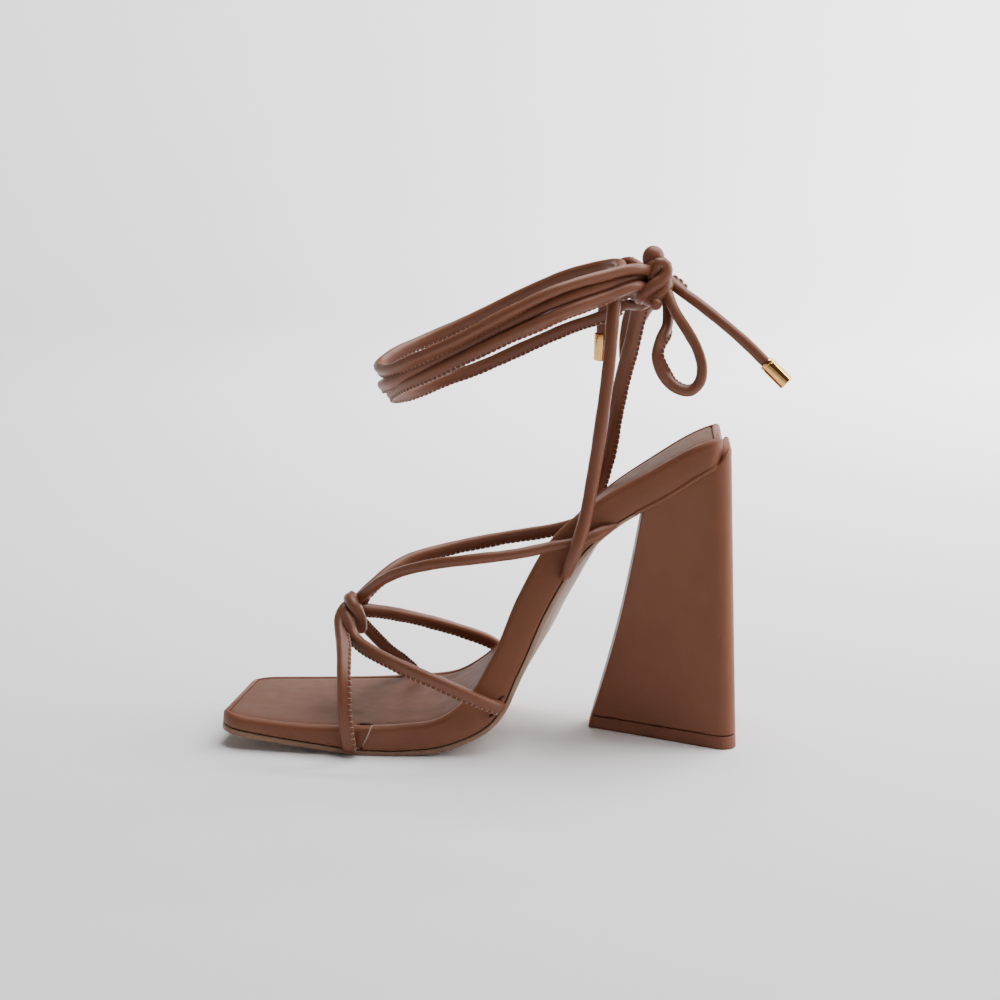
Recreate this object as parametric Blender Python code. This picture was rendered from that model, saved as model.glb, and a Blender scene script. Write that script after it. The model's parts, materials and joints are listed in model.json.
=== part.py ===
"""A right-foot heeled sandal: wrapped platform sole, flared heel, rolled straps and ankle laces.

Frame: +Z up, X runs from the toe to the heel, -Y is the medial side. The origin lies on the
floor under the middle of the shoe. Tables and sizes are in millimetres; meshes are in metres.
"""

import math
from collections import namedtuple

import bmesh
import bpy
import numpy as np
from mathutils import Vector

MM = 0.001
CLEARANCE = 0.3
FRAME_SHIFT = Vector((1.2, 1.0, 0.0))

# Driving sizes of the sole
TOE_CORNER_RADIUS = 9.5
HEEL_END_RADIUS = 14.0
TOE_SLANT = 0.06
TOE_SLANT_LENGTH = 45.0
OUTSOLE_FOREFOOT = 2.4
OUTSOLE_BREAST = 1.2
OUTSOLE_END_X = 54.0
TOP_EDGE_RADIUS = 2.4
BOTTOM_EDGE_BEVEL = 0.8
BORDER_WIDTH = 4.2
INSOLE_RECESS = 1.6
INSOLE_BELOW_BORDER = 0.4
BORDER_LIP = 0.6
BORDER_DIP = 0.05
END_WALL_DIP = 0.1
STATION_SPACING = 6.0
STATION_GAP = 0.9
END_STATION_GAP = 0.2
END_TURNS = (0.08, 0.22, 0.45, 0.7, 1.0)
HEEL_END_FINE = 0.3
END_CAP = 0.4
RECESS_RAMP = 0.3
HEEL_END_UPRIGHT = 36.0
SEAT_CUT_LEAD = 10.0
SEAT_CUT_ABOVE = 2.0

# Driving sizes of the heel
TOP_LIFT_HEIGHT = 5.0
HEEL_SEAT_Z = 97.0
HEEL_SEAT_X = 61.0
HEEL_SEAT_SLOPE = 0.56
CORNER_STEPS = 4

# Driving sizes of straps and laces
STRAP_RADIUS = 2.1
TUBE_SIDES = 8
TUBE_SPACING = 5.5
VAMP_KNOT_CENTRE = (-53.0, -4.0, 48.6)
VAMP_KNOT_RADII = (5.2, 6.4, 7.0)
BOW_KNOT_CENTRE = (67.2, 2.0, 178.8)
BOW_KNOT_RADII = (5.2, 6.5, 8.2)
KNOT_SEGMENTS = 16
KNOT_RINGS = 10
CORD_SPACING = 8.5
SOCKET_POINTS = 4
ROUTE_FINENESS = 12
AGLET_RADIUS = 2.9
AGLET_LENGTH = 11.0
AGLET_SIDES = 12
AGLET_MOUTH = 0.6
AGLET_TIP = 1.2
AGLET_MOUTH_SHARE = 0.86
AGLET_TIP_SHARE = 0.7

# The sole's sections: ridge position, total thickness, the two edges across the foot, and how far
# the lateral edge lies below the medial one
Section = namedtuple("Section", "x rise thick medial lateral drop")
SOLE_SECTIONS = (
    Section(-99.2, 13.7, 7.7, -33.5, 21.5, 0.0),
    Section(-84.0, 12.2, 8.1, -36.5, 28.0, 0.0),
    Section(-66.0, 11.1, 9.0, -38.8, 33.6, 0.0),
    Section(-44.0, 11.2, 11.4, -39.9, 36.6, 0.0),
    Section(-29.0, 12.0, 12.1, -39.7, 38.0, 0.0),
    Section(-14.2, 14.6, 12.8, -38.0, 37.0, 0.0),
    Section(-5.8, 20.6, 15.2, -35.0, 35.4, 0.8),
    Section(3.8, 35.4, 13.8, -29.5, 32.6, 4.6),
    Section(14.2, 60.2, 14.2, -24.0, 29.8, 6.6),
    Section(27.4, 82.4, 14.6, -19.5, 27.8, 5.8),
    Section(45.2, 96.6, 13.0, -16.0, 27.6, 3.2),
    Section(64.0, 107.1, 12.8, -14.8, 29.6, 1.0),
    Section(82.0, 117.2, 12.6, -14.6, 31.0, 0.4),
    Section(91.8, 120.8, 11.6, -14.6, 31.0, 0.0),
)

# The heel's plan at three levels, from the floor to the seat
HeelPlan = namedtuple(
    "HeelPlan", "level front back front_half back_half front_round back_round centre")
HEEL_PLANS = (
    HeelPlan(0.0, 40.6, 98.6, 5.2, 34.6, 2.5, 5.0, 9.6),
    HeelPlan(0.5, 52.8, 96.8, 13.0, 27.4, 3.0, 6.0, 8.9),
    HeelPlan(1.0, 62.4, 95.0, 20.8, 21.6, 2.5, 11.0, 7.6),
)
HEEL_LEVELS = 9

# Routes of the six straps, from the knot over the toes to the edge of the sole
Route = namedtuple("Route", "name points")
STRAPS = (
    Route("medial_front", ((-54, -4, 49), (-53, -12, 46), (-52.6, -24, 40), (-51.8, -36, 29),
                           (-50.4, -42, 16), (-48.6, -42.5, 3.6))),
    Route("medial_back", ((-53, -4, 48), (-51.5, -14, 41.5), (-43, -26, 37.4), (-30, -34.5, 34.8),
                          (-14.2, -39.2, 29.6), (-3, -38.6, 24.4), (8.4, -35.6, 19))),
    Route("medial_instep", ((-52, -3, 51), (-47, -7, 56), (-38, -13, 63.4), (-19, -24, 71.6),
                            (-3.6, -28.5, 74.8), (15.4, -27.6, 77.4), (27, -24.2, 79.4),
                            (39.6, -22.2, 81), (51.6, -19, 87.8))),
    Route("lateral_instep", ((-52, -2, 51), (-45, 7, 57.2), (-39.6, 13, 61.2), (-34, 19, 64),
                             (-21, 27, 66.8), (3, 32.6, 71.2), (27, 31.6, 75.8), (41, 30.6, 80))),
    Route("lateral_back", ((-52, -2, 49), (-40, 12, 44.2), (-29, 24, 38.8), (-13.5, 34, 31.8),
                           (0, 37.2, 25.8), (9.5, 36.4, 19))),
    Route("lateral_front", ((-53, -2, 46), (-48.8, 8, 37.8), (-43.4, 20, 27.4), (-37.6, 32, 18.4),
                            (-33.4, 40.1, 13), (-32, 40.6, 3.6))),
)

# The turns round the ankle: which side, how far in, and the height from front to back
Turn = namedtuple("Turn", "side inset front_x front third two_thirds back")
ANKLE_BACK_X = 60.0
ANKLE_HALF_WIDTH = 31.0
ANKLE_CENTRE_Y = 4.0
ANKLE_FULLNESS = 2.3
ANKLE_END_ROUND = 0.62
ANKLE_TAPER = (1.08, 0.24)
ANKLE_FRONT_LEAD = 0.6
ANKLE_HEIGHT_KEYS = (0.0, 0.33, 0.67, 1.0)
ANKLE_STEPS = (0.04, 0.16, 0.33, 0.52, 0.7, 0.86)
TURN_A_OUT = Turn(1, 0.0, -41.5, 146.6, 160.6, 177.2, 186.6)
TURN_A_HOME = Turn(-1, 0.0, -41.5, 142.6, 158.2, 175.8, 184.6)
TURN_B_FIRST = Turn(-1, 3.4, -40.0, 137.8, 154.6, 171.6, 181.4)
TURN_B_FAR = Turn(1, 0.0, -40.0, 136.4, 150.2, 166.4, 173.6)
TURN_B_NEAR = Turn(-1, 0.0, -36.5, 135.8, 152.2, 167.2, 177.8)
TURN_B_LAST = Turn(1, 0.0, -36.5, 131.2, 142.0, 157.4, 170.0)

# Routes of the two laces between the sole, the turns and the bow's knot
MEDIAL_RISER = (
    (31.6, -24.9, 67), (36.4, -27.9, 79), (39.2, -26, 88), (41.8, -23, 101.4), (44.2, -21, 117),
    (46.2, -19, 132.2), (48.2, -15.8, 150), (49, -11.4, 162), (49.6, -7.6, 171),
    (50.2, -4.4, 176.8), (50.8, 3, 181.4), (49.6, 11.4, 183.6),
)
MEDIAL_TO_KNOT = ((57.4, -7.6, 183), (62.8, -1.8, 182.2))
LATERAL_RISER = (
    (35.6, 32, 72), (38.4, 35.8, 79), (41.2, 35.6, 87), (44.4, 33, 96), (48.2, 31, 111.6),
    (50.2, 28.4, 126), (53.2, 26.4, 140.2), (55.8, 24, 152.4), (58.2, 21.6, 166),
    (59.6, 12, 175.6), (58.4, 2.4, 179.2),
)
BACK_CROSSING = ((55.2, 14, 173.4), (59.6, 4, 174), (56.4, -6.8, 176.2))
LATERAL_TO_KNOT = ((53.4, 20.6, 167.4), (58.8, 12, 168), (62.2, 8, 170), (64.6, 5.4, 173.8))

# Routes of the bow's cords, each from inside the knot outward
BOW_LOOP_NEAR = (
    (69.2, -3.4, 174.6), (72.6, -7.8, 167.4), (77.4, -10.4, 160.2), (81.4, -12, 153),
    (83, -13, 146.6), (82.2, -13, 141.4), (79, -13, 138.1), (73.6, -13, 138.9), (68.2, -13, 144.2),
    (66, -12.4, 150.8), (67.2, -9, 156.8), (69.8, -4.4, 162.4), (69.9, -1.2, 167), (69.2, 1.6, 171.2),
)
BOW_LOOP_FAR = (
    (65.8, 4.4, 186), (65.8, 9.4, 184.6), (64.6, 15.8, 179.6), (62, 23.4, 174.4), (58, 32, 170),
    (54.4, 38.8, 162), (52.8, 41.6, 152.6), (52.8, 40.2, 145.6), (53.4, 36, 142.4),
    (54.2, 31.6, 146), (55.6, 30, 153.4), (60, 27.6, 162), (63.6, 20.6, 168), (66.8, 12.8, 172.6),
    (69.4, 7.4, 175.6),
)
LACE_END_NEAR = (
    (71.6, 1.2, 177), (76.2, -2.8, 173.8), (80.6, -6.4, 171), (86.4, -10, 166.8),
    (93, -13.2, 161.7), (100.4, -15.4, 155.4), (106.4, -16.6, 149.6),
)
LACE_END_FAR = (
    (63.4, 6.4, 180), (58.6, 12, 183), (54.4, 17.4, 184.4), (51, 23.4, 182.6),
    (48, 29.8, 177.4), (45.2, 36, 168.6), (43.6, 39, 160.2), (43.6, 39.4, 154.6),
)

# Colours (linear), roughness and metallic value of each piece
Finish = namedtuple("Finish", "colour roughness metallic")
TAN_LEATHER = Finish((0.25, 0.115, 0.07), 0.45, 0.0)
SOCK_LEATHER = Finish((0.33, 0.21, 0.165), 0.6, 0.0)
SOLE_LEATHER = Finish((0.10, 0.045, 0.028), 0.55, 0.0)
LIFT_RUBBER = Finish((0.075, 0.036, 0.026), 0.6, 0.0)
GOLD_METAL = Finish((0.75, 0.53, 0.25), 0.3, 1.0)


def clear_scene():
    for item in list(bpy.data.objects):
        bpy.data.objects.remove(item, do_unlink=True)


def material(name, finish):
    made = bpy.data.materials.new(name)
    made.use_nodes = True
    shader = made.node_tree.nodes["Principled BSDF"]
    shader.inputs["Base Color"].default_value = (*finish.colour, 1.0)
    shader.inputs["Roughness"].default_value = finish.roughness
    shader.inputs["Metallic"].default_value = finish.metallic
    return made


def add_object(name, mesh, finish):
    mesh.materials.clear()
    mesh.materials.append(material(name, finish))
    item = bpy.data.objects.new(name, mesh)
    bpy.context.scene.collection.objects.link(item)
    return item


def placed(point):
    """A point of the tables, moved to the frame's origin, in metres."""
    return (Vector(point) + FRAME_SHIFT) * MM


def hermite(keys, values, at):
    """Smooth curve through values at rising keys, carried on straight past both ends."""
    keys = np.asarray(keys, float)
    values = np.asarray(values, float)
    slopes = np.gradient(values, keys, axis=0)
    at = float(at)
    if at <= keys[0]:
        return values[0] + slopes[0] * (at - keys[0])
    if at >= keys[-1]:
        return values[-1] + slopes[-1] * (at - keys[-1])
    i = int(np.searchsorted(keys, at)) - 1
    span = keys[i + 1] - keys[i]
    u = (at - keys[i]) / span
    blend_start = 2 * u**3 - 3 * u**2 + 1
    blend_end = 1 - blend_start
    lead_start = (u**3 - 2 * u**2 + u) * span
    lead_end = (u**3 - u**2) * span
    return (blend_start * values[i] + blend_end * values[i + 1]
            + lead_start * slopes[i] + lead_end * slopes[i + 1])


def chord_keys(points):
    steps = np.linalg.norm(np.diff(np.asarray(points, float), axis=0), axis=1)
    return np.concatenate(([0.0], np.cumsum(steps)))


def smooth_route(points, spacing):
    """Evenly spaced points of a smooth curve through the route's own points."""
    keys = chord_keys(points)
    marks = np.linspace(0, keys[-1], ROUTE_FINENESS * len(points))
    fine = np.array([hermite(keys, points, mark) for mark in marks])
    lengths = chord_keys(fine)
    count = max(3, int(round(lengths[-1] / spacing)) + 1)
    wanted = np.linspace(0, lengths[-1], count)
    return np.column_stack([np.interp(wanted, lengths, fine[:, axis]) for axis in range(3)])


def loft(rings):
    """Closed mesh through rings of equal point counts, each listed the same way round.

    Every quad is split from its more medial corner, so that layers over each other twist alike.
    """
    shape = bmesh.new()
    rows = [[shape.verts.new(placed(point)) for point in ring] for ring in rings]
    count = len(rows[0])
    for lower, upper in zip(rows, rows[1:]):
        for i in range(count):
            j = (i + 1) % count
            if lower[i].co.y <= lower[j].co.y:
                shape.faces.new((lower[i], lower[j], upper[j]))
                shape.faces.new((lower[i], upper[j], upper[i]))
            else:
                shape.faces.new((lower[i], lower[j], upper[i]))
                shape.faces.new((lower[j], upper[j], upper[i]))
    shape.faces.new(list(reversed(rows[0])))
    shape.faces.new(rows[-1])
    bmesh.ops.triangulate(shape, faces=[f for f in shape.faces if len(f.verts) > 4])
    bmesh.ops.recalc_face_normals(shape, faces=shape.faces)
    mesh = bpy.data.meshes.new("loft")
    shape.to_mesh(mesh)
    shape.free()
    return mesh


def tube(points, radius, sides=TUBE_SIDES):
    """Round tube along points, its ring carried on without twist."""
    points = np.asarray(points, float)
    tangents = np.gradient(points, axis=0)
    tangents /= np.linalg.norm(tangents, axis=1)[:, None]
    across = np.cross(tangents[0], (0.0, 0.0, 1.0))
    if np.linalg.norm(across) < 0.1:
        across = np.cross(tangents[0], (0.0, 1.0, 0.0))
    angles = [2 * math.pi * k / sides for k in range(sides)]
    rings = []
    for point, tangent in zip(points, tangents):
        across = across - tangent * np.dot(across, tangent)
        across /= np.linalg.norm(across)
        over = np.cross(tangent, across)
        rings.append([point + radius * (math.cos(a) * across + math.sin(a) * over) for a in angles])
    return loft(rings)


def ball(centre, radii):
    shape = bmesh.new()
    bmesh.ops.create_uvsphere(shape, u_segments=KNOT_SEGMENTS, v_segments=KNOT_RINGS, radius=1.0)
    for vert in shape.verts:
        vert.co = placed([c + r * p for c, r, p in zip(centre, radii, vert.co)])
    mesh = bpy.data.meshes.new("ball")
    shape.to_mesh(mesh)
    shape.free()
    return mesh


def combine(first, others, operation):
    """Boolean of one mesh with each of the others in turn."""
    base = bpy.data.objects.new("base", first)
    bpy.context.scene.collection.objects.link(base)
    helpers = []
    for other in others:
        helper = bpy.data.objects.new("helper", other)
        helper.hide_render = True
        helper.display_type = "WIRE"
        bpy.context.scene.collection.objects.link(helper)
        step = base.modifiers.new("join", "BOOLEAN")
        step.operation = operation
        step.solver = "EXACT"
        step.object = helper
        helpers.append(helper)
    graph = bpy.context.evaluated_depsgraph_get()
    mesh = bpy.data.meshes.new_from_object(base.evaluated_get(graph))
    for item in [base] + helpers:
        bpy.data.objects.remove(item, do_unlink=True)
    return mesh


class Sole:
    """The sole's shape: sections square to the curved ridge line, worked out from the table."""

    def __init__(self):
        ridge = [(row.x, row.rise) for row in SOLE_SECTIONS]
        self.keys = chord_keys(ridge)
        self.length = self.keys[-1]
        self.table = np.array(SOLE_SECTIONS, float)
        self.shared = self.shared_stations()

    def key_at_x(self, x):
        return float(np.interp(x, self.table[:, 0], self.keys))

    def row(self, key):
        return Section(*hermite(self.keys, self.table, key))

    def frame(self, key):
        step = 0.5
        before = self.row(key - step)
        after = self.row(key + step)
        angle = math.atan2(after.rise - before.rise, after.x - before.x)
        upright = min(max(1.0 - (self.length - key) / HEEL_END_UPRIGHT, 0.0), 1.0)
        angle *= 1.0 - upright
        return self.row(key), Vector((-math.sin(angle), 0.0, math.cos(angle)))

    def corner(self, key, grow):
        """How far the outline draws in at the rounded toe corners and the round heel end."""
        drawn = 0.0
        for distance, radius in ((key, TOE_CORNER_RADIUS), (self.length + grow - key, HEEL_END_RADIUS)):
            reach = min(max(distance, 0.0), radius)
            drawn += radius - math.sqrt(radius**2 - (radius - reach)**2)
        return drawn

    def outsole_thickness(self, key):
        along = min(max(key / self.key_at_x(OUTSOLE_END_X), 0.0), 1.0)
        return OUTSOLE_FOREFOOT + (OUTSOLE_BREAST - OUTSOLE_FOREFOOT) * along

    def shared_stations(self):
        """Keys that every layer of the sole uses, closer together at its round ends."""
        last = self.length - END_CAP
        keys = list(np.linspace(0.0, last, int(last / STATION_SPACING) + 1))
        for turn in END_TURNS:
            keys.append(TOE_CORNER_RADIUS * turn)
            keys.append(self.length - HEEL_END_RADIUS * turn)
            keys.append(self.length - HEEL_END_RADIUS * turn * HEEL_END_FINE)
        fixed = [0.0, last]
        for end in (BORDER_WIDTH, self.length - BORDER_WIDTH):
            fixed += [end - RECESS_RAMP, end + RECESS_RAMP]
        kept = list(fixed)
        for key in sorted(keys):
            if 0.0 < key < last and min(abs(key - other) for other in kept) > STATION_GAP:
                kept.append(key)
        return sorted(kept)

    def stations(self, start, end):
        first = start + END_STATION_GAP
        last = end - END_STATION_GAP
        return [start] + [key for key in self.shared if first < key < last] + [end]

    def ring(self, key, profile, grow=0.0):
        """Points of one section; profile gives (y, depth) pairs below the ridge line."""
        row, normal = self.frame(key)
        drawn = self.corner(key, grow)
        medial = row.medial + drawn
        lateral = row.lateral - drawn
        slant = TOE_SLANT * min(max(1.0 - key / TOE_SLANT_LENGTH, 0.0), 1.0)
        middle = (row.medial + row.lateral) / 2
        points = []
        for y, depth in profile(key, row, medial, lateral):
            depth += row.drop * (y - row.medial) / (row.lateral - row.medial)
            x = row.x - normal.x * depth + slant * (y - middle)
            z = row.rise - normal.z * depth
            points.append((x, y, max(z, 0.0)))
        return points


def mirrored(half, medial, lateral):
    """A section from (inset, depth) pairs of one edge, repeated on the other edge."""
    near = [(medial + inset, depth) for inset, depth in half]
    far = [(lateral - inset, depth) for inset, depth in reversed(half)]
    return near + far


def midsole_depth(sole, key, row):
    return row.thick - sole.outsole_thickness(key) - CLEARANCE


def border_at(medial, lateral):
    return min(BORDER_WIDTH, 0.4 * (lateral - medial))


def rolled_edge(bottom):
    r = TOP_EDGE_RADIUS
    bend = r * (1 - math.sqrt(0.5))
    wall = bottom - BOTTOM_EDGE_BEVEL
    return [(BOTTOM_EDGE_BEVEL, bottom), (0.0, wall), (0.0, r), (bend, bend), (r, 0.0)]


def make_midsole(sole):
    def profile(key, row, medial, lateral):
        border = border_at(medial, lateral)
        from_end = min(key, sole.length - key)
        recess = INSOLE_RECESS if from_end > BORDER_WIDTH else END_WALL_DIP
        lip = min(TOP_EDGE_RADIUS + BORDER_LIP, border - RECESS_RAMP)
        half = rolled_edge(midsole_depth(sole, key, row))
        half[-1] = (min(TOP_EDGE_RADIUS, lip - RECESS_RAMP), 0.0)
        return mirrored(half + [(lip, BORDER_DIP), (border, recess)], medial, lateral)

    return loft([sole.ring(key, profile) for key in sole.shared])


def make_outsole(sole):
    def profile(key, row, medial, lateral):
        top = row.thick - sole.outsole_thickness(key)
        half = [(BOTTOM_EDGE_BEVEL, row.thick), (0.0, row.thick - BOTTOM_EDGE_BEVEL), (0.0, top)]
        return mirrored(half, medial, lateral)

    keys = sole.stations(0.0, sole.key_at_x(OUTSOLE_END_X))
    return loft([sole.ring(key, profile) for key in keys])


def make_insole(sole):
    gap = CLEARANCE

    def profile(key, row, medial, lateral):
        inset = border_at(medial, lateral) + gap
        return mirrored([(inset, INSOLE_RECESS - gap), (inset, INSOLE_BELOW_BORDER)], medial, lateral)

    start = BORDER_WIDTH + RECESS_RAMP + gap
    keys = sole.stations(start, sole.length - start)
    return loft([sole.ring(key, profile) for key in keys])


def grown_sole(sole):
    """The platform's outer form with the clearance added all round, to cut the heel with."""
    def profile(key, row, medial, lateral):
        bottom = midsole_depth(sole, key, row) + CLEARANCE
        half = [(BOTTOM_EDGE_BEVEL, bottom), (0.0, bottom - BOTTOM_EDGE_BEVEL), (0.0, -SEAT_CUT_ABOVE)]
        return mirrored(half, medial - CLEARANCE, lateral + CLEARANCE)

    start = sole.key_at_x(OUTSOLE_END_X) - SEAT_CUT_LEAD
    keys = sole.stations(start, sole.length - END_CAP) + [sole.length - END_CAP + CLEARANCE]
    return loft([sole.ring(key, profile, CLEARANCE) for key in keys])


def heel_plan(level):
    keys = [plan.level for plan in HEEL_PLANS]
    return HeelPlan(*hermite(keys, np.array(HEEL_PLANS, float), level))


def rounded_corner(before, corner, after, radius):
    """Arc points that replace a corner of a plan outline."""
    corner = np.array(corner, float)
    to_before = np.array(before, float) - corner
    to_after = np.array(after, float) - corner
    to_before /= np.linalg.norm(to_before)
    to_after /= np.linalg.norm(to_after)
    half_angle = math.acos(np.clip(np.dot(to_before, to_after), -1, 1)) / 2
    bisector = (to_before + to_after) / np.linalg.norm(to_before + to_after)
    centre = corner + bisector * radius / math.sin(half_angle)
    reach = radius / math.tan(half_angle)
    start = corner + to_before * reach - centre
    end = corner + to_after * reach - centre
    sweep = math.pi - 2 * half_angle
    points = []
    for k in range(CORNER_STEPS + 1):
        share = k / CORNER_STEPS
        weight_start = math.sin((1 - share) * sweep) / math.sin(sweep)
        weight_end = math.sin(share * sweep) / math.sin(sweep)
        points.append(centre + start * weight_start + end * weight_end)
    return points


def heel_ring(level, height_at):
    plan = heel_plan(level)
    corners = (
        ((plan.front, plan.centre - plan.front_half), plan.front_round),
        ((plan.back, plan.centre - plan.back_half), plan.back_round),
        ((plan.back, plan.centre + plan.back_half), plan.back_round),
        ((plan.front, plan.centre + plan.front_half), plan.front_round),
    )
    outline = []
    for i, (corner, radius) in enumerate(corners):
        before = corners[i - 1][0]
        after = corners[(i + 1) % len(corners)][0]
        outline += rounded_corner(before, corner, after, radius)
    return [(x, y, height_at(x)) for x, y in outline]


def seat_height(x):
    return HEEL_SEAT_Z + HEEL_SEAT_SLOPE * (x - HEEL_SEAT_X)


def make_heel(sole):
    start = TOP_LIFT_HEIGHT + CLEARANCE
    rings = []
    for k in range(HEEL_LEVELS):
        share = k / (HEEL_LEVELS - 1)
        level = (start + share * (HEEL_SEAT_Z - start)) / HEEL_SEAT_Z
        rings.append(heel_ring(level, lambda x: start + share * (seat_height(x) - start)))
    return combine(loft(rings), [grown_sole(sole)], "DIFFERENCE")


def make_top_lift():
    heights = (0.0, TOP_LIFT_HEIGHT)
    return loft([heel_ring(z / HEEL_SEAT_Z, lambda x, z=z: z) for z in heights])


def make_upper():
    straps = [tube(smooth_route(strap.points, TUBE_SPACING), STRAP_RADIUS) for strap in STRAPS]
    return combine(ball(VAMP_KNOT_CENTRE, VAMP_KNOT_RADII), straps, "UNION")


def ankle_half_width(share):
    """Half width of the ankle from front (0) to back (1), narrower at the back."""
    oval = (1 - abs(2 * share - 1)**ANKLE_FULLNESS)**ANKLE_END_ROUND
    return ANKLE_HALF_WIDTH * oval * (ANKLE_TAPER[0] - ANKLE_TAPER[1] * share)


def ankle_turn(turn, forward):
    """Points of one strand along a side of the ankle, with the front point left out."""
    rows = []
    for share in ANKLE_STEPS:
        x = turn.front_x + share * (ANKLE_BACK_X - turn.front_x)
        inset = turn.inset * min(1.0, share / ANKLE_STEPS[1])
        y = ANKLE_CENTRE_Y + turn.side * (ankle_half_width(share) - inset)
        z = float(hermite(ANKLE_HEIGHT_KEYS, turn[-len(ANKLE_HEIGHT_KEYS):], share))
        rows.append((x, y, z))
    return rows[::-1] if forward else rows


def front_point(first, second):
    return [(first.front_x - ANKLE_FRONT_LEAD, ANKLE_CENTRE_Y, (first.front + second.front) / 2)]


def medial_lace():
    around = (ankle_turn(TURN_A_OUT, True) + front_point(TURN_A_OUT, TURN_A_HOME)
              + ankle_turn(TURN_A_HOME, False))
    return list(MEDIAL_RISER) + around + list(MEDIAL_TO_KNOT)


def lateral_lace():
    first = (ankle_turn(TURN_B_FIRST, True) + front_point(TURN_B_FIRST, TURN_B_FAR)
             + ankle_turn(TURN_B_FAR, False))
    second = (ankle_turn(TURN_B_NEAR, True) + front_point(TURN_B_NEAR, TURN_B_LAST)
              + ankle_turn(TURN_B_LAST, False))
    return list(LATERAL_RISER) + first + list(BACK_CROSSING) + second + list(LATERAL_TO_KNOT)


def make_ankle_lacing():
    routes = (medial_lace(), lateral_lace())
    laces = [tube(smooth_route(route, TUBE_SPACING), STRAP_RADIUS) for route in routes]
    return combine(laces[0], laces[1:], "UNION")


def add_cord(name, route):
    """A bow cord as a round curve along points of its smooth route."""
    points = smooth_route(route, CORD_SPACING)
    curve = bpy.data.curves.new(name, "CURVE")
    curve.dimensions = "3D"
    curve.bevel_depth = STRAP_RADIUS * MM
    curve.bevel_resolution = 2
    curve.use_fill_caps = True
    spline = curve.splines.new("POLY")
    spline.points.add(len(points) - 1)
    for target, point in zip(spline.points, points):
        target.co = (*placed(point), 1.0)
    curve.materials.append(material(name, TAN_LEATHER))
    item = bpy.data.objects.new(name, curve)
    bpy.context.scene.collection.objects.link(item)


def cord_socket(route, spacing):
    """A thicker tube over the start of a cord, to make room for it in the knot."""
    points = smooth_route(route, spacing)[:SOCKET_POINTS]
    along = points[0] - points[1]
    points[0] = points[0] + along * CLEARANCE / np.linalg.norm(along)
    return tube(points, STRAP_RADIUS + CLEARANCE)


def make_bow_knot():
    laces = (medial_lace()[::-1], lateral_lace()[::-1])
    cords = (BOW_LOOP_NEAR, BOW_LOOP_NEAR[::-1], BOW_LOOP_FAR, BOW_LOOP_FAR[::-1],
             LACE_END_NEAR, LACE_END_FAR)
    sockets = [cord_socket(route, TUBE_SPACING) for route in laces]
    sockets += [cord_socket(route, CORD_SPACING) for route in cords]
    return combine(ball(BOW_KNOT_CENTRE, BOW_KNOT_RADII), sockets, "DIFFERENCE")


def make_aglet(route):
    """A closed metal tip that carries on in line with the end of a lace."""
    points = smooth_route(route, CORD_SPACING)
    end = points[-1]
    along = points[-1] - points[-2]
    along /= np.linalg.norm(along)
    start = end + along * CLEARANCE
    profile = ((0.0, AGLET_MOUTH_SHARE), (AGLET_MOUTH, 1.0), (AGLET_LENGTH - AGLET_TIP, 1.0),
               (AGLET_LENGTH, AGLET_TIP_SHARE))
    angles = [2 * math.pi * k / AGLET_SIDES for k in range(AGLET_SIDES)]
    across = np.cross(along, (0.0, 1.0, 0.0))
    across /= np.linalg.norm(across)
    over = np.cross(along, across)
    rings = []
    for reach, share in profile:
        centre = start + along * reach
        radius = AGLET_RADIUS * share
        rings.append([centre + radius * (math.cos(a) * across + math.sin(a) * over) for a in angles])
    return loft(rings)


def main():
    clear_scene()
    sole = Sole()
    add_object("outsole", make_outsole(sole), SOLE_LEATHER)
    add_object("midsole", make_midsole(sole), TAN_LEATHER)
    add_object("insole", make_insole(sole), SOCK_LEATHER)
    add_object("heel", make_heel(sole), TAN_LEATHER)
    add_object("top_lift", make_top_lift(), LIFT_RUBBER)
    add_object("upper", make_upper(), TAN_LEATHER)
    add_object("ankle_lacing", make_ankle_lacing(), TAN_LEATHER)
    add_object("bow_knot", make_bow_knot(), TAN_LEATHER)
    add_cord("bow_loop_near", BOW_LOOP_NEAR)
    add_cord("bow_loop_far", BOW_LOOP_FAR)
    add_cord("lace_end_near", LACE_END_NEAR)
    add_cord("lace_end_far", LACE_END_FAR)
    add_object("aglet_near", make_aglet(LACE_END_NEAR), GOLD_METAL)
    add_object("aglet_far", make_aglet(LACE_END_FAR), GOLD_METAL)


main()
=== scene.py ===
"""Looks of a right-foot heeled sandal: rolled straps with stitched seams, wrapped sole, covered heel.

Tables are in millimetres in the shoe's own frame: +Z up, X from toe to heel, -Y the medial side.
Sizes that a user would change are properties, in metres. Meshes are in metres.
"""

import json
import math
from collections import namedtuple

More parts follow.
